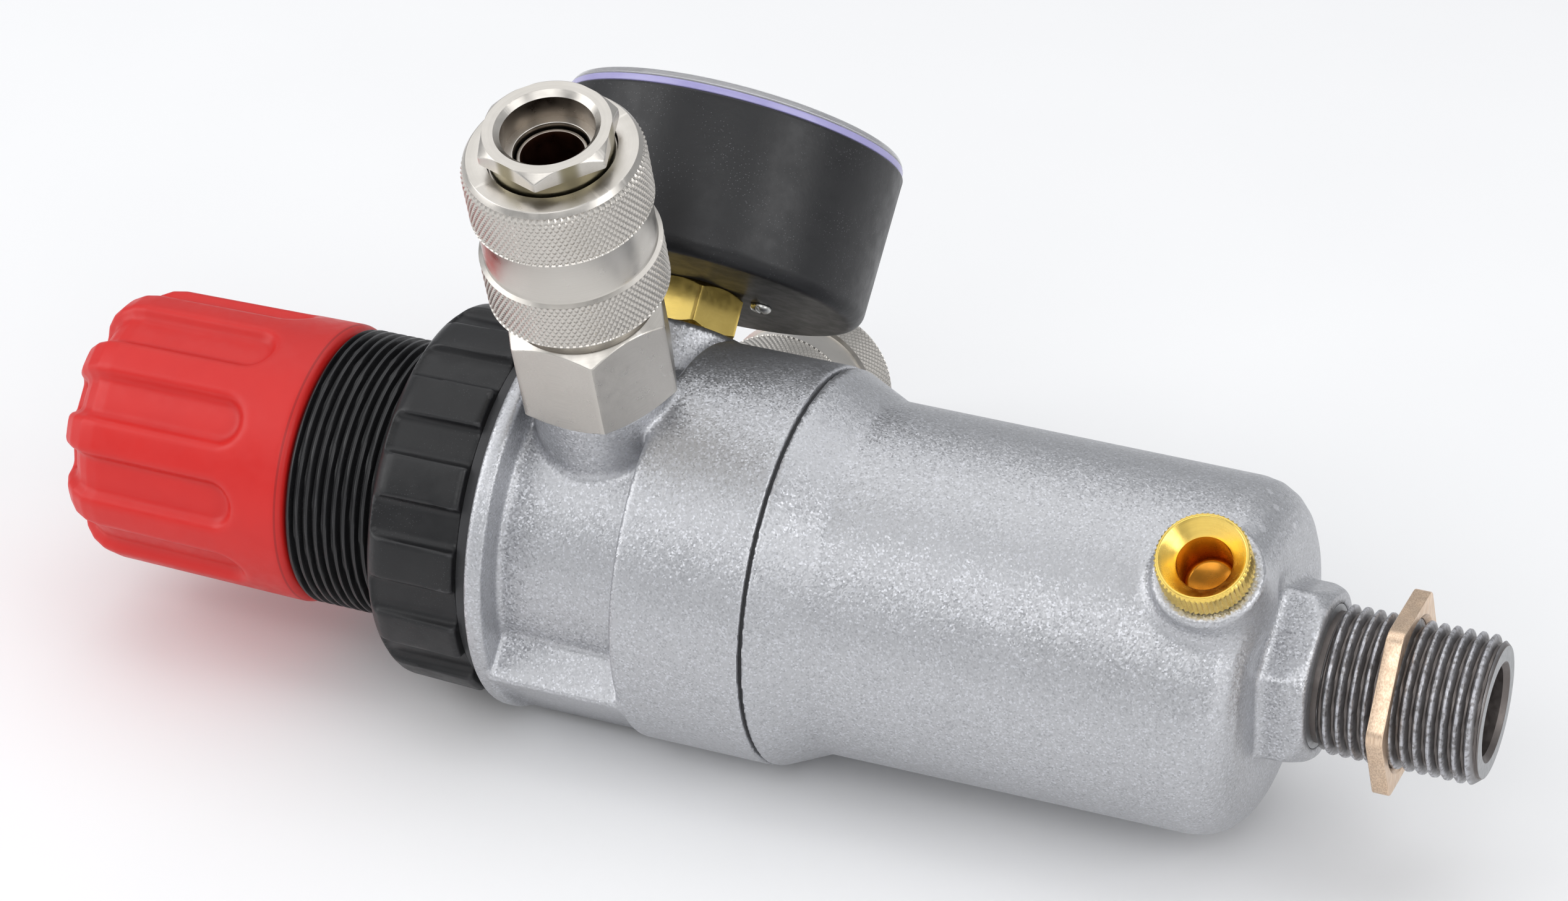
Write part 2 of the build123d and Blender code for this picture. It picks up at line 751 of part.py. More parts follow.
for side, angle in (("front", front_coupler_angle), ("rear", rear_coupler_angle)):
    coupler = branch(angle, port_x)

    with BuildPart() as base:
        coupler_base(coupler)
    finish(base, f"{side}_coupler_base")

    with BuildPart() as nose:
        coupler_nose(coupler)
    finish(nose, f"{side}_coupler_nose")

    with BuildPart() as sleeve:
        coupler_sleeve(coupler)
    finish(sleeve, f"{side}_coupler_sleeve")

    with BuildPart() as sleeve_spring:
        coil(coupler, 53.6, 69.0, 9.87, 0.5, 5)
    finish(sleeve_spring, f"{side}_sleeve_spring")

    with BuildPart() as seal:
        cylinder_between(coupler, 63.1, 66.3, 7.55)
        cylinder_between(coupler, 63.1, 66.3, 5.9, mode=Mode.SUBTRACT)
        fillet(seal.edges(), 0.35)
    finish(seal, f"{side}_coupler_seal")

    with BuildPart() as balls:
        with Locations(coupler.offset(ball_height)):
            with PolarLocations(ball_reach, ball_count):
                Sphere(ball_r)
    finish(balls, f"{side}_locking_balls")

    with BuildPart() as poppet:
        coupler_poppet(coupler)
    finish(poppet, f"{side}_valve_poppet")

    with BuildPart() as poppet_spring:
        coil(coupler, 40.0, 57.0, 4.95, 0.45, 6)
    finish(poppet_spring, f"{side}_poppet_spring")
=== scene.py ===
"""Looks of the air pressure regulator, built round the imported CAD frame.

Castings and moulded pieces are signed distance fields turned into meshes, so that their edges and
joins are softly rounded. Turned, threaded and knurled pieces are lathe meshes with a relief.
Lengths inside the shape functions are in millimetres; meshes are scaled to metres at the end.
"""
import json
import math

import bmesh
import bpy
import numpy as np
import openvdb
from mathutils import Matrix, Vector


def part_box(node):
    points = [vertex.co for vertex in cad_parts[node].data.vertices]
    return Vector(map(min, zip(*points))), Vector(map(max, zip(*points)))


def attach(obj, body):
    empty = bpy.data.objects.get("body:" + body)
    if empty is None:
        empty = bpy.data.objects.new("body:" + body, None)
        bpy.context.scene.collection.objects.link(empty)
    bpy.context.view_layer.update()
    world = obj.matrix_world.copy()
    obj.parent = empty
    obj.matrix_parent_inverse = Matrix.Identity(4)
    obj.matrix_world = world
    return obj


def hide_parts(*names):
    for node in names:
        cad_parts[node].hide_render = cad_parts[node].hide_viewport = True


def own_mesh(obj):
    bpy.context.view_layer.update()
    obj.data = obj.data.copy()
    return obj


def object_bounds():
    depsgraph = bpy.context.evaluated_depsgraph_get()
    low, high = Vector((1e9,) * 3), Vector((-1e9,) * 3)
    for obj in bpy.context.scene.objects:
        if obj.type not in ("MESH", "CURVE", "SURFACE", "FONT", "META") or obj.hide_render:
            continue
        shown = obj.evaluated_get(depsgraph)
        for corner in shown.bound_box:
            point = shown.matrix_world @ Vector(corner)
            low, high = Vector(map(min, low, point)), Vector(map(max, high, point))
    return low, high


MM = 0.001
TAU = 2 * math.pi

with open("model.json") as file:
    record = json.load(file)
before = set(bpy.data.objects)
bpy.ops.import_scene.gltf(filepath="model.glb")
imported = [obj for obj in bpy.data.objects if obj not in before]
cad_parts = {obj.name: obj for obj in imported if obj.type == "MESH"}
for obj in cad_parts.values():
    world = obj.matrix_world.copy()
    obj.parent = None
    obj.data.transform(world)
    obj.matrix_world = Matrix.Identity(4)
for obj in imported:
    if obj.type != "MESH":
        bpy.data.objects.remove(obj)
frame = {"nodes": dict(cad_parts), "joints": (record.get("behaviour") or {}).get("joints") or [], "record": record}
CAD_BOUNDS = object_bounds()
JOINTS = {joint["name"]: joint for joint in frame["joints"]}
MOUNTS = {mount["name"]: mount for mount in frame["record"]["mounts"]}


# ---------------------------------------------------------------- places read from the frame


def low(node, axis=0):
    """Lowest coordinate of a CAD node along a row axis, in millimetres."""
    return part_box(node)[0][axis] / MM


def high(node, axis=0):
    """Highest coordinate of a CAD node along a row axis, in millimetres."""
    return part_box(node)[1][axis] / MM


class Shaft:
    """An axis of symmetry: an origin, a direction, and the direction that polar angle 0 has."""

    def __init__(self, origin, direction, zero):
        self.origin = np.array(origin, float)
        self.direction = np.array(direction, float)
        self.zero = np.array(zero, float)
        self.side = np.cross(self.direction, self.zero)

    def polar(self, x, y, z):
        """Height, and the two coordinates across the axis, of points given in millimetres."""
        dx, dy, dz = x - self.origin[0], y - self.origin[1], z - self.origin[2]
        return tuple(
            dx * v[0] + dy * v[1] + dz * v[2] for v in (self.direction, self.zero, self.side)
        )

    def place(self, height, radius, angle):
        """Points in millimetres from heights, radii and polar angles."""
        across = np.multiply.outer(radius * np.cos(angle), self.zero)
        across += np.multiply.outer(radius * np.sin(angle), self.side)
        return self.origin + np.multiply.outer(height, self.direction) + across

    def flat(self, x, y, height):
        """A point in millimetres from coordinates in the plane across the axis."""
        return self.origin + x * self.zero + y * self.side + height * self.direction


MAIN = Shaft((0, 0, 0), (1, 0, 0), (0, 0, 1))


def branch(joint_name, station, outward=1):
    """The shaft of a branch, from the axis of a joint on it and its place along the main axis."""
    direction = outward * np.array(JOINTS[joint_name]["axis"], float)
    return Shaft((station, 0, 0), direction, (1, 0, 0))


PORT_X = MOUNTS["front_coupler_mouth"]["pos_m"][0] / MM
FRONT = branch("front_sleeve_slide", PORT_X)
REAR = branch("rear_sleeve_slide", PORT_X)
GAUGE = branch("pointer_turn", PORT_X, -1)
DRAIN = branch("drain_valve_turn", MOUNTS["drain_outlet"]["pos_m"][0] / MM)
PAD = Shaft((PORT_X, 0, 0), -GAUGE.direction, (1, 0, 0))


# ---------------------------------------------------------------- outlines


def rounded(outline, step=12):
    """Corner points (height, radius, round) of an outline, with each round drawn as an arc."""
    corners = [np.array(point[:2], float) for point in outline]
    rounds = [point[2] if len(point) == 3 else 0 for point in outline]
    points = []
    for index, corner in enumerate(corners):
        radius = rounds[index]
        if radius == 0:
            points.append(corner)
            continue
        before = corners[index - 1] - corner
        after = corners[(index + 1) % len(corners)] - corner
        before /= np.linalg.norm(before)
        after /= np.linalg.norm(after)
        half = math.acos(np.clip(before @ after, -1, 1)) / 2
        centre = corner + (before + after) / np.linalg.norm(before + after) * radius / math.sin(half)
        start = corner + before * radius / math.tan(half) - centre
        end = corner + after * radius / math.tan(half) - centre
        sweep = math.atan2(start[0] * end[1] - start[1] * end[0], start @ end)
        count = max(2, math.ceil(abs(math.degrees(sweep)) / step))
        for part in range(count + 1):
            turn = sweep * part / count
            cosine, sine = math.cos(turn), math.sin(turn)
            points.append(
                centre + (start[0] * cosine - start[1] * sine, start[0] * sine + start[1] * cosine)
            )
    return np.array(points)


def refined(points, ranges):
    """An outline with extra points where a relief needs them: ranges of (low, high, step)."""
    result = []
    for start, end in zip(points, np.roll(points, -1, axis=0)):
        result.append(start)
        middle = (start + end) / 2
        for lowest, highest, step in ranges:
            inside = min(start[0], end[0]) >= lowest - 1e-6 and max(start[0], end[0]) <= highest + 1e-6
            length = np.linalg.norm(end - start)
            if inside and length > step and middle[1] > 0:
                count = math.ceil(length / step)
                result += [start + (end - start) * part / count for part in range(1, count)]
    return np.array(result)


# ---------------------------------------------------------------- meshes


def add_object(name, points_mm, faces, smooth_angle=35):
    """A mesh object from points in millimetres, smooth except across edges over the angle."""
    mesh = bpy.data.meshes.new(name)
    mesh.from_pydata((np.asarray(points_mm) * MM).tolist(), [], faces)
    work = bmesh.new()
    work.from_mesh(mesh)
    bmesh.ops.remove_doubles(work, verts=work.verts, dist=1e-7)
    bmesh.ops.dissolve_degenerate(work, edges=work.edges, dist=1e-7)
    bmesh.ops.recalc_face_normals(work, faces=work.faces)
    work.to_mesh(mesh)
    work.free()
    mesh.polygons.foreach_set("use_smooth", [True] * len(mesh.polygons))
    mesh.set_sharp_from_angle(angle=math.radians(smooth_angle))
    piece = bpy.data.objects.new(name, mesh)
    bpy.context.scene.collection.objects.link(piece)
    return piece


def lathe(name, shaft, points, segments=144, relief=None, start=0.0):
    """A closed turned piece. relief(height, angle, radius) gives the radius of each point."""
    angle = start + np.arange(segments) * TAU / segments
    heights = np.repeat(points[:, :1], segments, axis=1)
    radii = np.repeat(points[:, 1:], segments, axis=1)
    angles = np.repeat(angle[None, :], len(points), axis=0)
    if relief:
        radii = relief(heights, angles, radii)
    vertices = shaft.place(heights, radii, angles).reshape(-1, 3)
    rows = len(points)
    first = np.arange(rows)[:, None] * segments + np.arange(segments)[None, :]
    right = np.roll(first, -1, axis=1)
    faces = np.stack([first, right, np.roll(right, -1, axis=0), np.roll(first, -1, axis=0)], -1)
    return add_object(name, vertices, faces.reshape(-1, 4).tolist())


# ---------------------------------------------------------------- signed distance fields


class Field:
    """Signed distances in millimetres, negative inside, on a regular grid of points."""

    def __init__(self, lowest, highest, voxel):
        self.voxel = voxel
        self.lowest = np.array(lowest, float) - 3 * voxel
        axes = [
            np.arange(a, b + 3 * voxel, voxel, dtype=np.float32)
            for a, b in zip(self.lowest, np.array(highest, float))
        ]
        self.x, self.y, self.z = np.meshgrid(*axes, indexing="ij", sparse=True)
        self.values = np.full([len(axis) for axis in axes], 1e3, np.float32)

    def polar(self, shaft):
        return shaft.polar(self.x, self.y, self.z)

    def turned(self, shaft, outline):
        """Distance to a solid of revolution, looked up in a table of its half section."""
        height, across, side = self.polar(shaft)
        radius = np.sqrt(across * across + side * side)
        cell = self.voxel / 2
        points = rounded(outline, 18)
        h0 = float(height.min())
        table = half_section(points, h0, float(height.max()), float(radius.max()), cell)
        hi = np.clip((height - h0) / cell, 0, table.shape[0] - 1.001)
        ri = np.clip(radius / cell, 0, table.shape[1] - 1.001)
        h, r = np.broadcast_arrays(hi.astype(np.int32), ri.astype(np.int32))
        fh, fr = hi - hi.astype(np.int32), ri - ri.astype(np.int32)
        low_row = table[h, r] * (1 - fr) + table[h, r + 1] * fr
        high_row = table[h + 1, r] * (1 - fr) + table[h + 1, r + 1] * fr
        return (low_row * (1 - fh) + high_row * fh).astype(np.float32)

    def block(self, shaft, centre, half, corner):
        """Distance to a rounded block given by (height, across, side) centre and half sizes."""
        gaps = [
            np.abs(value - middle) - (size - corner)
            for value, middle, size in zip(self.polar(shaft), centre, half)
        ]
        outside = sum(np.maximum(gap, 0) ** 2 for gap in gaps) ** 0.5
        return outside + np.minimum(np.maximum(np.maximum(*gaps[:2]), gaps[2]), 0) - corner

    def hexagon(self, shaft, bottom, top, across_flats, rotation, corner):
        """Distance to a hexagonal bar with rounded edges; a corner points at the rotation."""
        height, across, side = self.polar(shaft)
        flats = None
        for index in range(3):
            turn = math.radians(rotation + 30 + 60 * index)
            gap = np.abs(across * math.cos(turn) + side * math.sin(turn))
            flats = gap if flats is None else -soft_min(-flats, -gap, corner)
        flats = flats - (across_flats / 2 - corner)
        ends = np.abs(height - (bottom + top) / 2) - ((top - bottom) / 2 - corner)
        outside = np.sqrt(np.maximum(flats, 0) ** 2 + np.maximum(ends, 0) ** 2)
        return outside + np.minimum(np.maximum(flats, ends), 0) - corner

    def join(self, other, blend=0.0):
        self.values = soft_min(self.values, other, blend)

    def cut(self, other, blend=0.0):
        self.values = -soft_min(-self.values, other, blend)

    def mesh(self, name, smooth_angle=60):
        """The surface where the distance is zero, as a mesh object."""
        band = 3 * self.voxel
        grid = openvdb.FloatGrid(band)
        grid.copyFromArray(np.clip(self.values, -band, band).astype(np.float32))
        grid.transform = openvdb.createLinearTransform(voxelSize=self.voxel)
        grid.gridClass = openvdb.GridClass.LEVEL_SET
        points, triangles, quads = grid.convertToPolygons(isovalue=0, adaptivity=0)
        faces = quads.tolist() + triangles.tolist()
        return add_object(name, points + self.lowest, faces, smooth_angle)


def half_section(points, h0, h1, r1, cell):
    """Table of signed distances to an outline in the (height, radius) half plane."""
    height = np.arange(h0, h1 + 2 * cell, cell)[:, None]
    radius = np.arange(0, r1 + 2 * cell, cell)[None, :]
    nearest = np.full((height.shape[0], radius.shape[1]), 1e6)
    inside = np.zeros(nearest.shape, bool)
    for (ah, ar), (bh, br) in zip(points, np.roll(points, -1, axis=0)):
        if ar != br:
            crossing = ah + (radius - ar) * (bh - ah) / (br - ar)
            inside ^= ((ar > radius) != (br > radius)) & (height < crossing)
        if ar < 1e-6 and br < 1e-6:
            continue
        length2 = (bh - ah) ** 2 + (br - ar) ** 2
        along = ((height - ah) * (bh - ah) + (radius - ar) * (br - ar)) / length2
        along = np.clip(along, 0, 1)
        gap2 = (height - ah - along * (bh - ah)) ** 2 + (radius - ar - along * (br - ar)) ** 2
        nearest = np.minimum(nearest, gap2)
    distance = np.sqrt(nearest)
    return np.where(inside, -distance, distance).astype(np.float32)


def soft_min(a, b, blend):
    """Smaller of two distances, rounded off over the blend width in millimetres."""
    if blend <= 0:
        return np.minimum(a, b)
    share = np.clip(0.5 + 0.5 * (b - a) / blend, 0, 1)
    return b + (a - b) * share - blend * share * (1 - share)


# ---------------------------------------------------------------- castings

# Directions of hexagon corners about the main axis, in degrees from -Y towards +Z
BOWL_HEX_TURN = 24.5
LOCKNUT_TURN = 63.5


def body_casting():
    """Body: flange, neck, band, three bosses and the pad, with the real cavities inside."""
    left, right = low("regulator_body"), high("regulator_body")
    flange_right, band_left = left + 2.9, right - 19.6
    flange_r, neck_r, boss_r = 29.0, 23.5, 10.1
    lowest = [left, -flange_r - 1, -flange_r - 1]
    highest = [right, high("regulator_body", 1), high("regulator_body", 2)]
    field = Field(np.minimum(lowest, [low("regulator_body", i) for i in range(3)]), highest, 0.38)
    field.join(
        field.turned(
            MAIN,
            [(left, 0), (left, flange_r, 0.9), (flange_right, flange_r, 0.9),
             (flange_right, neck_r, 1.0), (band_left, neck_r, 0.8), (band_left, flange_r, 0.9),
             (right, flange_r, 0.15), (right, 0)],
        )
    )
    boss_tops = {FRONT: high_along("regulator_body", FRONT), REAR: high_along("regulator_body", REAR)}
    for shaft, top in boss_tops.items():
        field.join(
            field.turned(shaft, [(14, 0), (14, boss_r), (top, boss_r, 0.6), (top, 0)]), blend=1.2
        )
    gauge_top = low_along("gauge_stem", GAUGE) + 7.5
    field.join(
        field.turned(GAUGE, [(14, 0), (14, 9.5), (gauge_top, 9.5, 0.9), (gauge_top, 0)]), blend=1.4
    )
    middle = (flange_right + band_left) / 2 - PORT_X
    pad_half = (band_left - flange_right) / 2 + 0.6
    field.join(field.block(PAD, (21.0, middle, 0), (6.4, pad_half, 11.5), 0.5), blend=0.6)

    cavity = [
        (left - 2, 0), (left - 2, 20.55), (-135, 20.55), (-135, 16), (-121, 16), (-121, 5.5),
        (-116, 5.5), (-116, 9.05), (-110, 9.05), (-110, 12), (-116, 12), (-116, 25.05),
        (right + 2, 25.05), (right + 2, 0),
    ]
    field.cut(field.turned(MAIN, cavity))
    for shaft in boss_tops:
        field.cut(field.turned(shaft, [(10, 0), (10, 4.2), (22, 4.2), (22, 6.6), (40, 6.6), (40, 0)]))
    field.cut(field.turned(GAUGE, [(10, 0), (10, 2.5), (21.5, 2.5), (21.5, 4.9), (40, 4.9), (40, 0)]))
    return field.mesh("body_casting")


def high_along(node, shaft):
    """Greatest height of a CAD node's points along a shaft, within 10 mm of it."""
    heights, across = node_heights(node, shaft)
    return float(heights[across < 10].max())


def low_along(node, shaft):
    """Least height of a CAD node's points along a shaft."""
    return float(node_heights(node, shaft)[0].min())


def node_heights(node, shaft):
    points = np.array([vertex.co for vertex in frame["nodes"][node].data.vertices]) / MM
    height, across, side = shaft.polar(*points.T)
    return height, np.hypot(across, side)


def bowl_casting():
    """Bowl: screwed spigot, coned shoulder, rounded end with a cast hexagon, and the drain boss."""
    left, right = low("bowl"), high("bowl")
    seam = low("bowl_seal") + 0.5
    end = right - 6.8
    boss_top = high_along("bowl", DRAIN)
    size = 29.5
    field = Field((left, -size, -size), (right, size, size), 0.46)
    field.join(
        field.turned(
            MAIN,
            [(left, 0), (left, 25.0, 0.8), (seam, 25.0), (seam, 28.8, 0.15), (seam + 0.9, 28.8, 0.6),
             (seam + 7.9, 25.6, 1.4), (end - 8.5, 25.4), (end, 25.3, 7.8), (end, 0)],
        )
    )
    field.join(field.hexagon(MAIN, end - 4, right, 24.0, 90 - BOWL_HEX_TURN, 0.8), blend=1.6)
    chamfer = [(right - 3.4, 14.3), (right + 2, 10.6), (right + 2, 20), (right - 3.4, 20)]
    field.cut(field.turned(MAIN, chamfer), blend=0.6)
    field.cut(field.turned(MAIN, [(left - 2, 0), (left - 2, 22.5), (-36, 22.5, 5), (-36, 0)]))
    boss = field.turned(DRAIN, [(16.5, 0), (16.5, 7.84, 1), (boss_top, 7.84, 0.7), (boss_top, 0)])
    field.join(boss, blend=2.4)
    field.cut(field.turned(MAIN, [(-42, 0), (-42, 10.23), (right + 2, 10.23), (right + 2, 0)]))
    field.cut(
        field.turned(
            DRAIN,
            [(10, 0), (10, 2.4), (18.5, 2.4), (18.5, 4.0), (22.5, 4.0), (22.5, 4.96), (40, 4.96),
             (40, 0)],
        )
    )
    return field.mesh("bowl_casting")


# ---------------------------------------------------------------- knob, ring nut, threads

FLUTES = 10
FLUTE_TURN = 41
FLUTE_DEPTH = 1.7
FLUTE_HALF_WIDTH = 3.3
LOBES = 14
LAND_TURN = 56


def knob_cap():
    """Moulded knob: a rounded cap with ten finger flutes that narrow and run out over its end."""
    left, right = low("adjusting_knob"), high("adjusting_knob")
    cap_r, rim_r = 20.3, 20.9
    field = Field((left, -rim_r - 1, -rim_r - 1), (right, rim_r + 1, rim_r + 1), 0.3)
    cap = field.turned(MAIN, [(left, 0), (left, cap_r, 7.2), (right, rim_r, 1.5), (right, 0)])
    field.join(cap)
    for index in range(FLUTES):
        turn = math.radians(FLUTE_TURN + index * 360 / FLUTES)
        shaft = Shaft((0, 0, 0), (0, -math.cos(turn), math.sin(turn)), (1, 0, 0))
        height, along, side = field.polar(shaft)
        wide = side * cap_r / np.maximum(height, 8.0)
        slot = np.sqrt(np.maximum(along - (right - 12.1), 0) ** 2 + wide**2) - FLUTE_HALF_WIDTH
        floor = np.maximum(-FLUTE_DEPTH - cap, 13.5 - height)
        field.cut(-soft_min(-slot, -floor, 1.4), blend=1.7)
    field.cut(
        field.turned(
            MAIN,
            [(left + 4, 8), (left + 4, 18.2, 4), (right + 2, 18.6), (right + 2, 0), (left + 9, 0),
             (left + 9, 8)],
        )
    )
    field.cut(field.turned(MAIN, [(left + 2.5, 0), (left + 2.5, 3.9), (right, 3.9), (right, 0)]))
    return field.mesh("knob_cap")


def ring_nut_body():
    """Moulded ring nut: raised grip lands with a hollow as wide as a land between each two."""
    left, right = low("ring_nut"), high("ring_nut")
    outer_r, hollow_r, bore_r = 28.1, 26.4, 20.56
    field = Field((left, -29, -29), (right, 29, 29), 0.36)
    field.join(
        field.turned(MAIN, [(left, 0), (left, outer_r - 0.5, 3.2), (right, outer_r, 0.7), (right, 0)])
    )
    height, across, side = field.polar(MAIN)
    radius = np.sqrt(across**2 + side**2)
    turn = np.arctan2(side, across) - math.radians(LAND_TURN)
    phase = (turn * LOBES / TAU + 0.5) % 1.0
    land = (0.25 - np.abs(phase - 0.5)) * TAU / LOBES * outer_r
    hollow = -soft_min(-land, radius - hollow_r, 1.6)
    field.cut(-soft_min(-hollow, height - (left + 1.2), 0.6), blend=0.3)
    bore = [(left - 2, 0), (left - 2, bore_r), (right + 2, bore_r), (right + 2, 0)]
    field.cut(field.turned(MAIN, bore))
    return field.mesh("ring_nut_body")


def thread_relief(crest_r, depth, pitch, first, last, hand=1, flat=0.22):
    """Relief of a screw thread between two heights; its ends run out over half a pitch."""

    def relief(height, angle, radius):
        phase = (height / pitch - hand * angle / TAU) % 1.0
        flank = np.clip((0.5 - np.abs(phase - 0.5) - flat / 2) / (0.5 - flat), 0, 1)
        fade = np.clip(np.minimum(height - first, last - height) / (pitch / 2), 0, 1)
        cut = depth * flank * fade
        threaded = np.minimum(radius, crest_r - cut)
        return np.where(radius > crest_r - 1.6 * depth, threaded, radius)

    return relief


def bonnet_shell():
    """Bonnet: plain end under the knob, a long external thread, and the spring chamber."""
    left, right = low("bonnet"), high("bonnet")
    shoulder = high("adjusting_knob") + 0.3
    crest_r = 20.5
    outline = rounded(
        [(left, 3.96), (left, 17.6, 2.0), (shoulder, 17.9), (shoulder, crest_r, 0.8),
         (right, crest_r), (right, 15.5), (left + 4, 15.5), (left + 4, 3.96)]
    )
    points = refined(outline, [(shoulder, right, 0.14)])
    relief = thread_relief(crest_r, 0.95, 1.5, shoulder, right - 8, flat=0.3)
    return lathe("bonnet_shell", MAIN, points, 128, relief)


def nipple_tube():
    """Inlet nipple: G 1/2 thread cut over its whole visible length, chamfered mouth."""
    left, right = low("inlet_nipple"), high("inlet_nipple")
    hex_end = high("bowl")
    crest_r, core_r = 10.478, 9.3
    outline = rounded(
        [(left, 6.4), (left, 10.2), (hex_end - 0.2, 10.2), (hex_end + 0.1, core_r),
         (hex_end + 0.9, core_r), (hex_end + 1.5, crest_r), (right - 1.4, crest_r, 0.3),
         (right, 9.3, 0.25), (right, 7.1, 0.2), (right - 0.8, 6.4)]
    )
    points = refined(outline, [(hex_end, right, 0.13)])
    relief = thread_relief(crest_r, 1.12, 1.814, hex_end + 0.4, right + 1.0, flat=0.2)
    return lathe("nipple_tube", MAIN, points, 128, relief)


def hexagon_relief(across_flats, corner_turn, corner_r, threshold, rim=None):
    """Relief that holds points outside the threshold radius within a hexagonal wall.

    With a rim, points that the outline puts at the rim radius lie on the wall itself, and points
    inside it stay as far inside the wall. Corners are rounded to the corner radius.
    """
    apothem = across_flats / 2
    centre = (apothem - corner_r) / math.cos(TAU / 12)
    arc = math.atan2(corner_r * 0.5, centre + corner_r * math.cos(TAU / 12))

    def relief(height, angle, radius):
        turn = (angle - math.radians(corner_turn)) % (TAU / 6) - TAU / 12
        gap = TAU / 12 - np.abs(turn)
        reach = np.sqrt(np.maximum(corner_r**2 - (centre * np.sin(gap)) ** 2, 0))
        wall = np.where(gap < arc, centre * np.cos(gap) + reach, apothem / np.cos(turn))
        held = np.minimum(radius, wall) if rim is None else wall + radius - rim
        return np.where(radius > threshold, held, radius)

    return relief


def locknut_plate():
    """Thin hexagonal locknut, sawn from bar: rounded corners, chamfered threaded hole."""
    left, right = low("locknut"), high("locknut")
    hole_r, rim = 10.52, 20.0
    outline = rounded(
        [(left, hole_r + 0.7), (left, rim, 0.18), (right, rim, 0.18), (right, hole_r + 0.7),
         (right - 0.6, hole_r), (left + 0.6, hole_r)],
        30,
    )
    relief = hexagon_relief(25.4, 90 - LOCKNUT_TURN, 2.5, hole_r + 1, rim)
    return lathe("locknut_plate", MAIN, outline, 240, relief)


# ---------------------------------------------------------------- couplers and drain


def diamond_relief(bands, crest_r, depth, count):
    """Diamond knurl: two sets of crossing V grooves in each band of heights."""

    def relief(height, angle, radius):
        lead = 1.5 * TAU * crest_r / count
        grooves = [(count * angle / TAU + hand * height / lead) % 1.0 for hand in (1, -1)]
        ridge = np.minimum(*[1 - np.abs(2 * groove - 1) for groove in grooves])
        inside = np.zeros(height.shape, bool)
        for bottom, top in bands:
            inside |= (height > bottom) & (height < top)
        knurled = inside & (radius > crest_r - 0.45)
        return np.where(knurled, radius - depth * (1 - np.minimum(ridge * 1.25, 1)), radius)

    return relief


def coupler_sleeve(name, node, shaft):
    """Turned sleeve with two knurled bands and a plain band between them."""
    bottom = low_along(node, shaft)
    top = bottom + 25.7
    crest_r, plain_r = 12.7, 12.0
    lower, upper = (bottom + 0.7, bottom + 8.3), (bottom + 16.4, top - 0.8)
    outline = rounded(
        [(bottom, 10.76), (bottom, crest_r - 0.6, 0.4), (lower[0], crest_r), (lower[1], crest_r),
         (lower[1] + 0.3, plain_r + 0.1), (bottom + 8.9, plain_r), (bottom + 15.9, plain_r),
         (upper[0] - 0.2, plain_r + 0.1), (upper[0], crest_r), (top - 1.9, crest_r),
         (upper[1], crest_r - 0.42), (top, crest_r - 0.95, 0.2), (top, 9.0), (top - 0.5, 9.0),
         (top - 0.6, 9.7),
         (bottom + 20.1, 9.7), (bottom + 20.1, 9.08), (bottom + 18.8, 9.08),
         (bottom + 18.8, 10.76)], 20
    )
    points = refined(outline, [(*lower, 0.15), (*upper, 0.15)])
    relief = diamond_relief((lower, upper), crest_r, 0.26, 90)
    return lathe(name, shaft, points, 540, relief)


def coupler_base(name, node, shaft):
    """Hexagonal adaptor with turned chamfers at both ends and the sleeve's guide above it."""
    top = high_along(node, shaft)
    hex_bottom, hex_top, flats = top - 21.8, top - 6.3, 21.4
    outline = rounded(
        [(top - 31.5, 4.2), (top - 31.5, 6.0), (hex_bottom, 6.0), (hex_bottom, 10.3, 0.2),
         (hex_bottom + 1.3, 12.6), (hex_top - 1.7, 12.6), (hex_top, 10.35, 0.2), (hex_top, 9.6),
         (hex_top + 2.6, 9.6), (hex_top + 2.6, 10.7), (top, 10.7), (top, 8.05),
         (top - 13.5, 8.05), (top - 13.5, 4.2)], 20
    )
    points = refined(outline, [(hex_bottom, hex_bottom + 1.4, 0.12), (hex_top - 1.8, hex_top, 0.12)])
    relief = hexagon_relief(flats, -3, 0.5, 10.31)
    return lathe(name, shaft, points, 240, relief, math.radians(-3))


def coupler_nose(name, node, shaft):
    """Nose tube with its hexagonal collar, chamfered mouth, bore, seal groove and poppet seat."""
    top = high_along(node, shaft)
    collar = top - 2.4
    outline = rounded(
        [(top - 40.2, 6.6), (top - 40.2, 8.0), (top - 26.7, 8.0), (top - 26.7, 9.02),
         (top - 5.3, 9.02, 0.3), (top - 5.3, 8.6), (collar, 8.6), (collar, 10.3, 0.12),
         (top - 1.5, 10.3), (top, 8.8, 0.12), (top, 7.3, 0.12), (top - 0.8, 6.5),
         (top - 4.3, 6.5), (top - 4.3, 5.25, 0.15), (top - 5.6, 5.25, 0.1), (top - 5.6, 6.4),
         (top - 13.9, 6.4), (top - 13.9, 7.6),
         (top - 17.3, 7.6), (top - 17.3, 5.0), (top - 19.3, 5.0), (top - 19.3, 6.6)], 20
    )
    points = refined(outline, [(top - 1.6, top, 0.1)])
    relief = hexagon_relief(17.4, -18, 0.35, 8.75)
    return lathe(name, shaft, points, 240, relief, math.radians(-18))


def poppet_tube(name, node, shaft):
    """Valve poppet: stepped tube end that the plug meets, and the head behind its seat."""
    top = high_along(node, shaft)
    outline = rounded(
        [(top - 18.2, 0), (top - 18.2, 6.2, 0.4), (top - 14.25, 6.2, 0.3), (top - 14.25, 4.94),
         (top, 4.94, 0.25), (top, 4.4, 0.1), (top - 0.8, 4.2), (top - 13.7, 4.2), (top - 13.7, 0)]
    )
    return lathe(name, shaft, outline, 96)


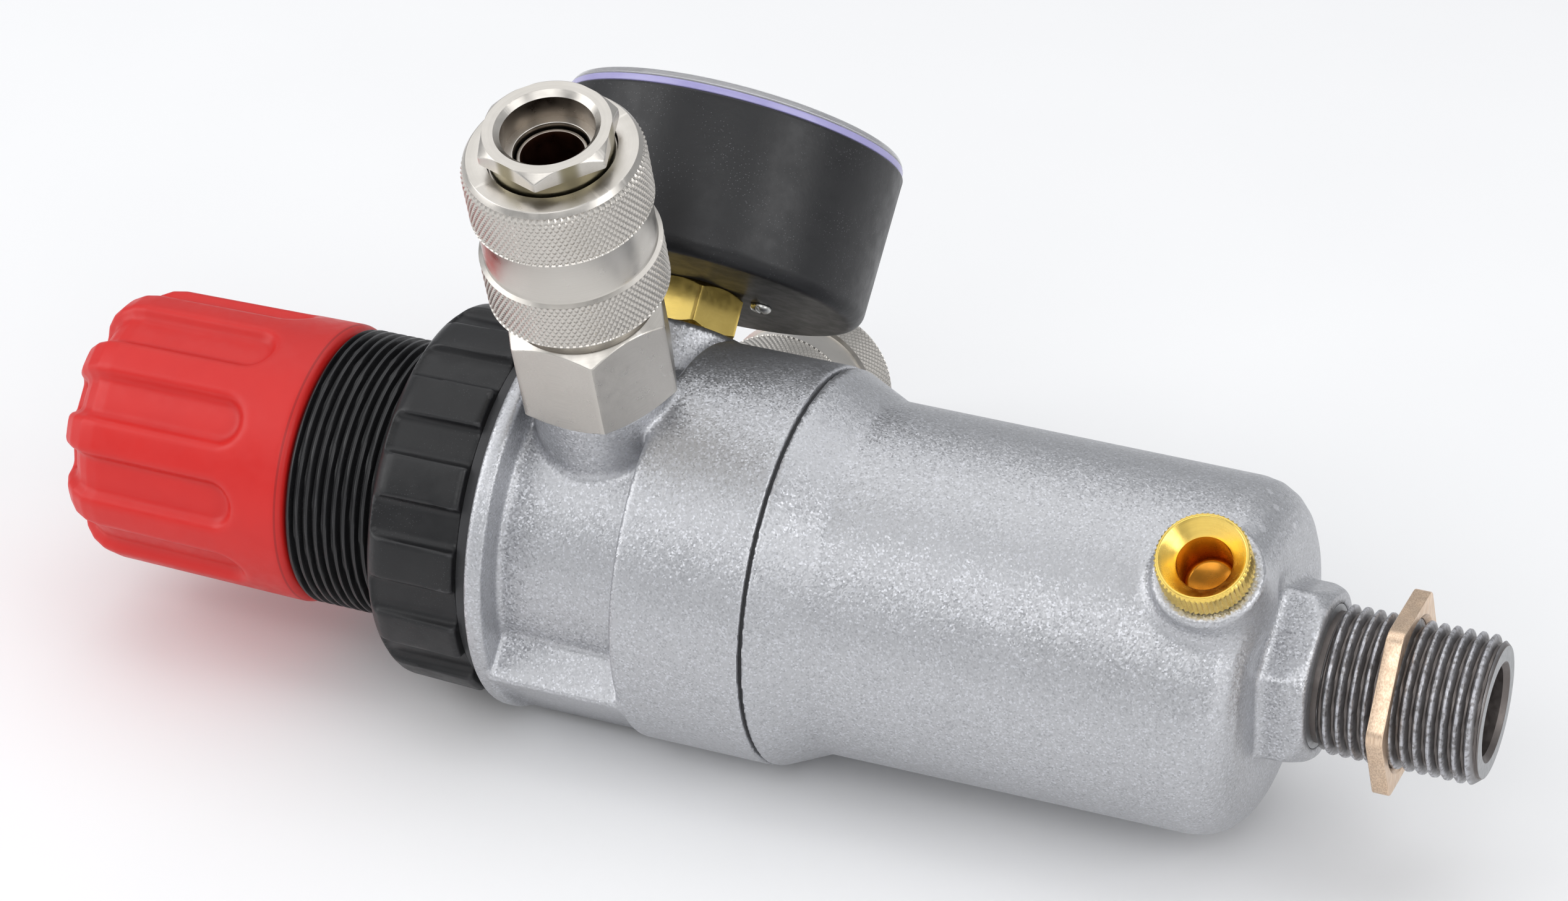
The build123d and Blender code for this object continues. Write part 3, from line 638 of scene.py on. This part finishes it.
def drain_knob():
    """Brass drain valve: knurled ring with a turned funnel that narrows to the bore."""
    top = high_along("drain_valve", DRAIN)
    crest_r, ring_bottom = 6.6, top - 4.6
    outline = rounded(
        [(top - 14.5, 0), (top - 14.5, 3.0, 0.4), (top - 13.2, 3.0), (top - 13.2, 2.5),
         (top - 11.8, 2.5), (top - 11.8, 3.4), (top - 10.3, 3.4), (top - 10.3, 4.9),
         (ring_bottom, 4.9), (ring_bottom, crest_r - 0.3), (ring_bottom + 0.3, crest_r),
         (top - 0.35, crest_r), (top, crest_r - 0.35, 0.1), (top, 5.95, 0.2), (top - 2.2, 3.85, 0.15),
         (top - 8.8, 3.6, 0.8), (top - 9.7, 0)], 20
    )
    points = refined(outline, [(ring_bottom, top, 0.5)])

    def relief(height, angle, radius):
        groove = (angle * 56 / TAU) % 1.0
        tooth = 1 - np.abs(2 * groove - 1)
        return np.where(radius > crest_r - 0.32, radius - 0.22 * (1 - tooth), radius)

    return lathe("drain_knob", DRAIN, points, 336, relief)


def coil(name, node, shaft):
    """Helical spring of round wire in the space of its CAD node."""
    heights, across = node_heights(node, shaft)
    wire_r, coil_r = (across.max() - across.min()) / 2, (across.max() + across.min()) / 2
    bottom, top = heights.min() + wire_r, heights.max() - wire_r
    turns = max(3, round((top - bottom) / (4.4 * wire_r)))
    along = np.linspace(0, 1, turns * 40 + 1)[:, None]
    round_wire = np.arange(12)[None, :] * TAU / 12
    place_height = bottom + (top - bottom) * along + wire_r * np.sin(round_wire)
    radius = coil_r + wire_r * np.cos(round_wire) + 0 * along
    vertices = shaft.place(place_height, radius, turns * TAU * along + 0 * round_wire).reshape(-1, 3)
    first = np.arange(len(along) - 1)[:, None] * 12 + np.arange(12)[None, :]
    right = np.roll(first, -1, axis=1)
    faces = np.stack([first, right, right + 12, first + 12], -1).reshape(-1, 4).tolist()
    last = len(vertices) - 12
    return add_object(name, vertices, faces + [list(range(12)), list(range(last, last + 12))])


# ---------------------------------------------------------------- gauge


def gauge_housing():
    """Pressed steel case with a rolled back edge, plain sides and a thin rim."""
    back = low_along("gauge_case", GAUGE)
    rim = back + 23.2
    outline = rounded(
        [(back, 6.05), (back, 25.0, 2.4), (rim - 1.4, 25.45, 0.5),
         (rim, 25.5, 0.4), (rim, 24.0), (back + 2.2, 23.4, 1.6), (back + 2.2, 6.05)], 10
    )
    return lathe("gauge_housing", GAUGE, outline, 192)


def window_cap():
    """Clear window: a flat face with a rounded rim."""
    back = low_along("gauge_window", GAUGE)
    seat, top = back + 4.5, back + 6.1
    outline = rounded(
        [(seat, 23.0), (seat, 25.15, 0.2), (top - 0.6, 24.6, 0.8), (top, 22.4, 1.2), (top, 0),
         (top - 1.4, 0), (top - 1.4, 21.6)], 12
    )
    return lathe("window_cap", GAUGE, outline, 192)


def window_band():
    """Tinted foot of the window: the ring that plugs into the case and rests on its rim."""
    back = low_along("gauge_window", GAUGE)
    rim, seat = back + 3.42, back + 4.46
    outline = rounded(
        [(back, 22.6), (back, 23.9, 0.2), (rim, 23.9), (rim, 25.2, 0.2), (seat, 25.2, 0.2),
         (seat, 22.6)], 12
    )
    return lathe("window_band", GAUGE, outline, 192)


def dial_plate():
    """Enamelled dial disc with a hole for the pointer's spindle."""
    back = low_along("gauge_dial", GAUGE)
    outline = rounded([(back, 1.6), (back, 22.4), (back + 0.8, 22.4, 0.3), (back + 0.8, 1.6)])
    return lathe("dial_plate", GAUGE, outline, 128)


BAR_MAX = 12
SWEEP = 270.0
ZERO_TURN = -45.0


def dial_marks():
    """Printed scale as thin raised shapes: an arc, and long and short ticks."""
    back = low_along("gauge_dial", GAUGE) + 0.8
    steps = BAR_MAX * 5
    vertices, faces = [], []

    def plate(corners):
        base = len(vertices)
        for height in (back - 0.02, back + 0.05):
            vertices.extend(GAUGE.flat(x, y, height) for x, y in corners)
        count = len(corners)
        faces.append([base + i for i in range(count)][::-1])
        faces.append([base + count + i for i in range(count)])
        for i in range(count):
            j = (i + 1) % count
            faces.append([base + i, base + j, base + count + j, base + count + i])

    def at(radius, degrees):
        turn = math.radians(degrees)
        return radius * math.cos(turn), radius * math.sin(turn)

    for step in range(steps + 1):
        degrees = ZERO_TURN - SWEEP * step / steps
        long_tick = step % 5 == 0
        half_width = math.degrees((0.22 if long_tick else 0.11) / 18)
        inner = 15.6 if long_tick else 17.0
        plate([at(inner, degrees - half_width), at(inner, degrees + half_width),
               at(18.6, degrees + half_width), at(18.6, degrees - half_width)])
    for step in range(90):
        first, last = ZERO_TURN - SWEEP * step / 90, ZERO_TURN - SWEEP * (step + 1) / 90
        plate([at(18.5, first), at(18.8, first), at(18.8, last), at(18.5, last)])
    return add_object("dial_marks", vertices, faces)


def dial_number(value):
    """One generic scale number, as a mesh lying on the dial and upright with the knob on top."""
    text = bpy.data.curves.new(f"dial_number_{value}", "FONT")
    text.body = str(value)
    text.size = 3.2
    text.align_x, text.align_y = "CENTER", "CENTER"
    text.extrude = 0.03
    number = bpy.data.objects.new(f"dial_number_{value}", text)
    mesh = bpy.data.meshes.new_from_object(number)
    bpy.data.objects.remove(number)
    turn = math.radians(ZERO_TURN - SWEEP * value / BAR_MAX)
    height = low_along("gauge_dial", GAUGE) + 0.84
    middle = GAUGE.flat(13.2 * math.cos(turn), 13.2 * math.sin(turn), height)
    up, out = Vector(-GAUGE.zero), Vector(GAUGE.direction)
    axes = Matrix((up.cross(out), up, out)).transposed().to_4x4()
    mesh.transform(Matrix.Scale(MM, 4) @ Matrix.Translation(Vector(middle)) @ axes)
    piece = bpy.data.objects.new(f"dial_number_{value}", mesh)
    bpy.context.scene.collection.objects.link(piece)
    return piece


def case_screw(index, degrees):
    """Slotted pan-head screw that holds the gauge's case to its socket block."""
    back = low_along("gauge_case", GAUGE)
    turn = math.radians(degrees)
    head = Shaft(
        GAUGE.flat(10.1 * math.cos(turn), 10.1 * math.sin(turn), back - 0.98),
        GAUGE.direction, GAUGE.zero,
    )
    span = np.array([2.4, 2.4, 2.4])
    field = Field(head.origin - span, head.origin + span, 0.07)
    field.join(field.turned(head, [(0, 0), (0, 1.6, 0.75), (0.96, 1.62), (0.96, 0)]))
    field.cut(field.block(head, (0, 0, 0), (0.5, 0.26, 2.2), 0.05), blend=0.08)
    return field.mesh(f"case_screw_{index}")


def stem_hexagon():
    """Brass stem: a chamfered hexagon between the body's boss and the gauge's back."""
    bottom = low_along("gauge_stem", GAUGE)
    back = low_along("gauge_case", GAUGE)
    hex_bottom = back - 6.7
    outline = rounded(
        [(bottom, 2.0), (bottom, 4.85), (hex_bottom, 4.85), (hex_bottom, 6.8, 0.1),
         (hex_bottom + 0.8, 8.2), (back - 0.9, 8.2), (back, 6.8, 0.1), (back, 6.0),
         (back + 9.4, 6.0), (back + 9.4, 2.0)], 20
    )
    points = refined(outline, [(hex_bottom, hex_bottom + 0.9, 0.1), (back - 1.0, back, 0.1)])
    relief = hexagon_relief(14.0, -62, 0.4, 6.9)
    return lathe("stem_hexagon", GAUGE, points, 180, relief, math.radians(-62))


# ---------------------------------------------------------------- materials


class Look:
    """Builds one procedural material; lengths in its nodes are metres in the row frame."""

    def __init__(self, name, metallic=0.0, **shader):
        self.material = bpy.data.materials.new(name)
        self.material.use_nodes = True
        self.tree = self.material.node_tree
        self.tree.nodes.clear()
        self.shader = self.node("BsdfPrincipled", {"Metallic": metallic, **shader})
        output = self.node("OutputMaterial", {"Surface": self.shader.outputs[0]})
        output.is_active_output = True
        self.place = self.node("TexCoord", {}).outputs["Object"]
        self.geometry = self.node("NewGeometry", {})
        self.normal = None

    def node(self, kind, inputs, output=None, **settings):
        made = self.tree.nodes.new("ShaderNode" + kind)
        for key, value in settings.items():
            setattr(made, key, value)
        for key, value in inputs.items():
            if isinstance(value, bpy.types.NodeSocket):
                self.tree.links.new(value, made.inputs[key])
            else:
                made.inputs[key].default_value = value
        return made if output is None else made.outputs[output]

    def math(self, operation, a, b=0.0, c=0.0):
        return self.node("Math", {0: a, 1: b, 2: c}, 0, operation=operation)

    def vector(self, operation, a, b, output="Vector"):
        return self.node("VectorMath", {0: a, 1: b}, output, operation=operation)

    def noise(self, scale, detail=3.0, place=None, roughness=0.55):
        inputs = {
            "Vector": place or self.place, "Scale": scale, "Detail": detail, "Roughness": roughness
        }
        return self.node("TexNoise", inputs, 0)

    def cells(self, scale, output="Distance"):
        return self.node("TexVoronoi", {"Vector": self.place, "Scale": scale}, output)

    def ramp(self, value, low, high, to_low=0.0, to_high=1.0):
        inputs = {0: value, 1: low, 2: high, 3: to_low, 4: to_high}
        return self.node("MapRange", inputs, 0, interpolation_type="SMOOTHSTEP")

    def mix(self, share, a, b):
        a, b = (value + (1.0,) if isinstance(value, tuple) else value for value in (a, b))
        inputs = {0: share, 6: a, 7: b}
        return self.node("Mix", inputs, 2, data_type="RGBA")

    def shaft_place(self, shaft):
        """Coordinates (height along a shaft, radius, 0), in metres, and the radius by itself."""
        origin = tuple(shaft.origin * MM)
        offset = self.vector("SUBTRACT", self.place, origin)
        height = self.vector("DOT_PRODUCT", offset, tuple(shaft.direction), "Value")
        square = self.vector("DOT_PRODUCT", offset, offset, "Value")
        height_square = self.math("MULTIPLY", height, height)
        radius = self.math("SQRT", self.math("SUBTRACT", square, height_square))
        return self.node("CombineXYZ", {0: height, 1: radius}, 0), radius

    def bump(self, height, depth):
        inputs = {"Height": height, "Distance": depth, "Strength": 1.0}
        if self.normal:
            inputs["Normal"] = self.normal
        self.normal = self.node("Bump", inputs, 0)

    def sparkle(self, scale, tilt):
        """Facets that each lean their own way, as blasted or cast metal grains do."""
        lean = self.vector("SUBTRACT", self.cells(scale, "Color"), (0.5, 0.5, 0.5))
        lean = self.node("VectorMath", {0: lean, "Scale": tilt}, 0, operation="SCALE")
        added = self.vector("ADD", self.geometry.outputs["Normal"], lean)
        self.normal = self.node("VectorMath", {0: added}, 0, operation="NORMALIZE")

    def edges(self, low=0.52, high=0.57):
        """1 on raised edges of a dense mesh, 0 elsewhere."""
        return self.ramp(self.geometry.outputs["Pointiness"], low, high)

    def finish(self, color, roughness):
        for key, value in (("Base Color", color), ("Roughness", roughness)):
            self.tree.links.new(value, self.shader.inputs[key])
        if self.normal:
            self.tree.links.new(self.normal, self.shader.inputs["Normal"])
        return self.material


def red_plastic():
    look = Look("red_plastic", 0.0, **{"Specular IOR Level": 0.38})
    tone = look.mix(look.noise(140.0), (0.54, 0.013, 0.011), (0.61, 0.018, 0.014))
    # Painted shade: concave places, such as the flute floors, are mixed towards a darker red.
    hollow = look.ramp(look.geometry.outputs["Pointiness"], 0.50, 0.47)
    tone = look.mix(look.math("MULTIPLY", hollow, 0.35), tone, (0.42, 0.012, 0.012))
    # Painted shade: a thin band 1.1 mm short of the rim end is mixed towards a darker red.
    x = look.node("SeparateXYZ", {0: look.place}, 0)
    rim = high("adjusting_knob") * MM - 0.0011
    rim_shade_line = look.ramp(look.math("ABSOLUTE", look.math("SUBTRACT", x, rim)), 0.00022, 0.0001)
    tone = look.mix(look.math("MULTIPLY", rim_shade_line, 0.7), tone, (0.30, 0.008, 0.008))
    look.bump(look.noise(2600.0, 2.0), 4e-6)
    return look.finish(tone, look.ramp(look.noise(500.0), 0.3, 0.7, 0.36, 0.46))


def dark_moulding(name, tone_low, tone_high, rough_low, rough_high, grain=1.2e-5, dust=0.25):
    """Black plastic or enamel: a fine grain, a painted highlight that lightens raised edges, and fine specks."""
    look = Look(name, 0.0, **{"Specular IOR Level": 0.4})
    darkest, lightest = ((tone, tone, tone * 1.12) for tone in (tone_low, tone_high))
    tone = look.mix(look.noise(220.0), darkest, lightest)
    # Painted highlight: raised edges are mixed towards a lighter grey.
    tone = look.mix(look.math("MULTIPLY", look.edges(), 0.25), tone, (0.10, 0.10, 0.105))
    dots = look.ramp(look.cells(2400.0), 0.22, 0.10)
    some = look.ramp(look.noise(160.0, 1.0), 0.36, 0.66)
    specks = look.math("MULTIPLY", look.math("MULTIPLY", dots, some), dust)
    tone = look.mix(specks, tone, (0.12, 0.12, 0.13))
    look.bump(look.noise(1700.0, 3.0), grain)
    return look.finish(tone, look.ramp(look.noise(420.0), 0.3, 0.7, rough_low, rough_high))


def cast_metal():
    look = Look("cast_metal", 0.85)
    tone = look.mix(look.noise(60.0), (0.46, 0.465, 0.48), (0.50, 0.505, 0.525))
    grains = look.node("SeparateXYZ", {0: look.cells(4200.0, "Color")}, 0)
    tone = look.mix(look.ramp(grains, 0.70, 1.0, 0.0, 0.45), tone, (0.74, 0.75, 0.80))
    tone = look.mix(look.ramp(grains, 0.25, 0.0, 0.0, 0.35), tone, (0.22, 0.22, 0.235))
    # Painted highlight: raised edges are mixed towards a light grey.
    tone = look.mix(look.math("MULTIPLY", look.edges(0.53, 0.60), 0.5), tone, (0.80, 0.80, 0.83))
    look.sparkle(4200.0, 0.26)
    return look.finish(tone, look.ramp(look.noise(120.0), 0.3, 0.7, 0.38, 0.44))


def turned_metal(name, shaft, low_tone, high_tone, rough, shaded_bores=(), neck=None):
    """Metal turned on a lathe about a shaft: fine rings, with slow changes of tone.

    Each bore entry is (radius, tone, floors): painted shade, a darker tone on the walls inside that
    radius, and on the faces across the shaft too if floors is true. A neck is (radius, tone):
    painted shade, a darker tone on the wall there.
    """
    look = Look(name, 1.0)
    rings, radius = look.shaft_place(shaft)
    lines = look.noise(9000.0, 2.0, rings)
    tone = look.mix(look.noise(150.0), low_tone, high_tone)
    tone = look.mix(look.ramp(lines, 0.62, 0.40, 0.0, 0.2), tone, tuple(c * 0.8 for c in low_tone))
    # Painted highlight: raised edges are mixed towards a tone lighter than the light end of the range.
    lighter_raised = tuple(min(1.0, c * 1.3) for c in high_tone)
    tone = look.mix(look.math("MULTIPLY", look.edges(0.53, 0.62), 0.5), tone, lighter_raised)
    normal = look.geometry.outputs["Normal"]
    along = look.vector("DOT_PRODUCT", normal, tuple(shaft.direction), "Value")
    wall = look.ramp(look.math("ABSOLUTE", along), 0.7, 0.4)
    # Painted shade: walls inside each bore radius, and floors too where asked, are mixed towards its darker tone.
    for bore_radius, bore_shade_tone, floors in shaded_bores:
        inside = look.ramp(radius, bore_radius + 0.0001, bore_radius - 0.0001)
        tone = look.mix(inside if floors else look.math("MULTIPLY", inside, wall), tone, bore_shade_tone)
    # Painted shade: the wall at the neck's radius is mixed towards the neck's darker tone.
    if neck:
        gap = look.math("ABSOLUTE", look.math("SUBTRACT", radius, neck[0]))
        there = look.ramp(gap, 0.0003, 0.0001)
        tone = look.mix(look.math("MULTIPLY", there, wall), tone, neck[1])
    roughness = look.ramp(look.noise(600.0), 0.3, 0.7, rough, rough + 0.1)
    return look.finish(tone, roughness)


def threaded_steel():
    look = Look("dark_steel", 0.9)
    radius = look.shaft_place(MAIN)[1]
    tone = look.mix(look.noise(420.0), (0.20, 0.19, 0.19), (0.30, 0.295, 0.30))
    # Patches of the thread crests are mixed towards a lighter grey.
    crest = look.ramp(radius, 0.0098, 0.01045)
    lighter_raised = look.math("MULTIPLY", crest, look.ramp(look.noise(1500.0), 0.35, 0.6))
    tone = look.mix(lighter_raised, tone, (0.52, 0.52, 0.55))
    tone = look.mix(look.ramp(radius, 0.0097, 0.0093, 0.0, 0.6), tone, (0.09, 0.065, 0.05))
    along = look.vector("DOT_PRODUCT", look.geometry.outputs["Normal"], (1, 0, 0), "Value")
    tone = look.mix(look.ramp(along, 0.9, 0.97, 0.0, 0.8), tone, (0.42, 0.43, 0.44))
    look.bump(look.noise(1800.0, 4.0), 1.5e-5)
    return look.finish(tone, look.ramp(look.noise(900.0), 0.3, 0.7, 0.36, 0.52))


def brushed_metal(name, along, low_tone, high_tone, rough, metallic=1.0):
    """Metal brushed or sawn along one direction of the row frame."""
    look = Look(name, metallic)
    stretch = tuple(0.06 if axis == along else 1.0 for axis in range(3))
    place = look.vector("MULTIPLY", look.place, stretch)
    lines = look.noise(5000.0, 3.0, place)
    tone = look.mix(look.ramp(lines, 0.35, 0.65), low_tone, high_tone)
    look.bump(lines, 8e-6)
    return look.finish(tone, look.ramp(look.noise(500.0), 0.3, 0.7, rough, rough + 0.15))


def soft_finish(name, low_tone, high_tone, rough, scale=400.0, bump=1e-5, metallic=0.0):
    """Plain moulded, printed or sintered surface with a fine grain."""
    look = Look(name, metallic)
    tone = look.mix(look.noise(scale), low_tone, high_tone)
    look.bump(look.noise(scale * 4, 3.0), bump)
    return look.finish(tone, look.ramp(look.noise(scale * 2), 0.3, 0.7, rough, rough + 0.12))


def clear_window():
    look = Look("clear_window", 0.0, **{"Transmission Weight": 0.8, "IOR": 1.49})
    tone = look.mix(look.noise(200.0), (0.955, 0.955, 0.975), (0.985, 0.985, 0.995))
    look.bump(look.noise(300.0, 2.0), 1e-6)
    return look.finish(tone, look.ramp(look.noise(300.0), 0.3, 0.7, 0.03, 0.08))


def tinted_window():
    look = Look("window_tint", 0.0, **{"Transmission Weight": 0.3, "IOR": 1.49})
    tone = look.mix(look.noise(260.0), (0.42, 0.39, 0.74), (0.54, 0.51, 0.84))
    look.bump(look.noise(900.0, 2.0), 2e-6)
    return look.finish(tone, look.ramp(look.noise(300.0), 0.3, 0.7, 0.16, 0.26))


MATERIALS = {
    "red_plastic": red_plastic(),
    "black_plastic": dark_moulding("black_plastic", 0.005, 0.010, 0.34, 0.44),
    "black_washer": dark_moulding("black_washer", 0.008, 0.013, 0.4, 0.5),
    "black_case": dark_moulding("black_case", 0.009, 0.014, 0.34, 0.44, 1.6e-5, 0.6),
    "black_rubber": dark_moulding("black_rubber", 0.010, 0.015, 0.6, 0.7),
    "cast_metal": cast_metal(),
    "dark_steel": threaded_steel(),
    "steel": turned_metal("steel", MAIN, (0.42, 0.42, 0.42), (0.5, 0.5, 0.5), 0.3),
    "spring_steel": soft_finish(
        "spring_steel", (0.30, 0.30, 0.31), (0.40, 0.40, 0.41), 0.3, metallic=1.0
    ),
    "plated_steel": turned_metal("plated_steel", GAUGE, (0.55, 0.55, 0.53), (0.68, 0.68, 0.66), 0.25),
    "bronze_nut": brushed_metal("bronze_nut", 2, (0.66, 0.48, 0.34), (0.86, 0.67, 0.50), 0.3),
    "bright_brass": turned_metal(
        "bright_brass", DRAIN, (0.84, 0.58, 0.13), (0.94, 0.70, 0.20), 0.2,
        # Painted shade: the drain's deep bore is mixed towards a darker orange-brown.
        shaded_bores=((0.00375, (0.46, 0.19, 0.025), True),),
    ),
    "inner_brass": turned_metal("inner_brass", MAIN, (0.66, 0.50, 0.22), (0.76, 0.60, 0.30), 0.25),
    "gauge_brass": turned_metal("gauge_brass", GAUGE, (0.70, 0.50, 0.12), (0.84, 0.63, 0.20), 0.14),
    "tube_bronze": turned_metal("tube_bronze", GAUGE, (0.50, 0.36, 0.19), (0.62, 0.46, 0.26), 0.3),
    "white_plastic": soft_finish("white_plastic", (0.70, 0.70, 0.67), (0.78, 0.78, 0.75), 0.45),
    "sintered_filter": soft_finish(
        "sintered_filter", (0.68, 0.67, 0.62), (0.82, 0.81, 0.76), 0.8, 900.0, 8e-5
    ),
    "dial_white": soft_finish("dial_white", (0.82, 0.82, 0.81), (0.87, 0.87, 0.86), 0.35),
    "pointer_black": soft_finish("pointer_black", (0.012, 0.012, 0.012), (0.025, 0.025, 0.025), 0.4),
    "ball_steel": soft_finish("ball_steel", (0.62, 0.62, 0.63), (0.72, 0.72, 0.73), 0.12, metallic=1.0),
    "clear_window": clear_window(),
    "window_tint": tinted_window(),
}
NICKEL = {
    side: turned_metal(
        f"nickel_{side}", shaft, (0.52, 0.495, 0.455), (0.62, 0.59, 0.55), 0.27,
        
        # Painted shade: darker tones inside the bores and on the nose's neck.
        shaded_bores=((0.0067, (0.24, 0.205, 0.17), False), (0.0044, (0.22, 0.11, 0.07), True)),
        neck=(0.0086, (0.24, 0.215, 0.14)),
    )
    for side, shaft in (("front", FRONT), ("rear", REAR))
}


# ---------------------------------------------------------------- assembly


def material_for(node, slot):
    """Material of a record slot; nickel is turned about the shaft of its own coupler."""
    return NICKEL[node.split("_")[0]] if slot == "nickel" else MATERIALS[slot]


def paint(piece, material):
    piece.data.materials.clear()
    piece.data.materials.append(material)


SLOTS = {part["node"]: part["material_slot"] for part in frame["record"]["subparts"]}
BODY_OF = {
    node: body for body, nodes in frame["record"]["behaviour"]["bodies"].items() for node in nodes
}
for node, piece in frame["nodes"].items():
    paint(piece, material_for(node, SLOTS[node]))


def install(piece, node, shown_for_node=True, slot=None, look=None):
    """Puts a finished piece on the body of a CAD node, with the node's material."""
    name = slot or SLOTS[node]
    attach(piece, BODY_OF[node])
    if shown_for_node:
        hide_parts(node)
    paint(piece, material_for(node, look or name))


install(body_casting(), "regulator_body")
install(bowl_casting(), "bowl")
install(knob_cap(), "adjusting_knob")
install(ring_nut_body(), "ring_nut")
install(bonnet_shell(), "bonnet")
install(nipple_tube(), "inlet_nipple")
install(locknut_plate(), "locknut")
install(drain_knob(), "drain_valve")
install(gauge_housing(), "gauge_case")
install(stem_hexagon(), "gauge_stem")
install(window_cap(), "gauge_window")
install(window_band(), "gauge_window", look="window_tint")
install(dial_plate(), "gauge_dial")
install(dial_marks(), "gauge_dial", False, "pointer_black")
for value in range(0, BAR_MAX + 1, 2):
    install(dial_number(value), "gauge_dial", False, "pointer_black")
for index, degrees in enumerate((21, 201)):
    install(case_screw(index, degrees), "gauge_case_screws")
for side, shaft in (("front", FRONT), ("rear", REAR)):
    for shape, part, node, slot in (
        (coupler_base, "base_body", "coupler_base", None),
        (coupler_nose, "nose_tube", "coupler_nose", None),
        (coupler_sleeve, "sleeve_shell", "coupler_sleeve", None),
        (poppet_tube, "poppet_tube", "valve_poppet", "nickel"),
    ):
        install(shape(f"{side}_{part}", f"{side}_{node}", shaft), f"{side}_{node}", slot=slot)

# Springs that a moving piece shortens: node, shaft, joint, and whether the far end is the fixed one
for node, shaft, joint, far_end in (
    ("regulating_spring", MAIN, "spring_nut_slide", True),
    ("valve_spring", MAIN, "valve_lift", True),
    ("front_poppet_spring", FRONT, "front_poppet_slide", False),
    ("rear_poppet_spring", REAR, "rear_poppet_slide", False),
):
    spring = coil(f"{node}_coil", node, shaft)
    install(spring, node)
    heights = node_heights(node, shaft)[0]
    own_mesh(spring)


# ---------------------------------------------------------------- stage, light and camera


def floor_sheet():
    """Pale floor, 8 m square, at the height the regulator rests on."""
    mesh = bpy.data.meshes.new("floor")
    level = CAD_BOUNDS[0][2]
    corners = [(-4, -4, level), (4, -4, level), (4, 4, level), (-4, 4, level)]
    mesh.from_pydata(corners, [], [(0, 1, 2, 3)])
    sheet = bpy.data.objects.new("floor", mesh)
    bpy.context.scene.collection.objects.link(sheet)
    paint(sheet, soft_finish("floor_paint", (0.86, 0.86, 0.865), (0.88, 0.88, 0.885), 0.7, 8.0, 1e-6))


def softbox(name, position, target, size, power, color=(1, 1, 1)):
    """Rectangular studio light that faces its target."""
    lamp = bpy.data.lights.new(name, "AREA")
    lamp.shape = "RECTANGLE"
    lamp.size, lamp.size_y = size
    lamp.energy = power
    lamp.color = color
    light = bpy.data.objects.new(name, lamp)
    light.location = position
    aim = Vector(target) - Vector(position)
    light.rotation_euler = aim.to_track_quat("-Z", "Y").to_euler()
    bpy.context.scene.collection.objects.link(light)


floor_sheet()
MIDDLE = (-0.10, 0.0, 0.01)
softbox("light_top", (-0.15, 0.25, 0.9), MIDDLE, (1.4, 1.0), 4.0)
softbox("light_left", (-0.85, -0.35, 0.45), MIDDLE, (0.6, 0.8), 3.4)
softbox("light_right", (0.65, -0.25, 0.40), MIDDLE, (0.4, 0.7), 2.4)
softbox("light_front", (0.05, -0.95, 0.75), MIDDLE, (1.0, 0.6), 3.6)

world = bpy.data.worlds.new("studio")
bpy.context.scene.world = world
world.use_nodes = True
background = world.node_tree.nodes["Background"]
background.inputs["Color"].default_value = (0.95, 0.97, 1.0, 1.0)
background.inputs["Strength"].default_value = 0.5

camera = bpy.data.objects.new("camera", bpy.data.cameras.new("camera"))
camera.location = (0.1222, -0.5587, 0.3768)
camera.rotation_euler = (math.radians(90 - 30.75), 0.0, math.radians(22.1))
camera.data.sensor_width = 36.0
camera.data.lens = 114.16
camera.data.clip_start = 0.01
bpy.context.scene.collection.objects.link(camera)
bpy.context.scene.camera = camera
bpy.context.scene.view_settings.view_transform = "Standard"
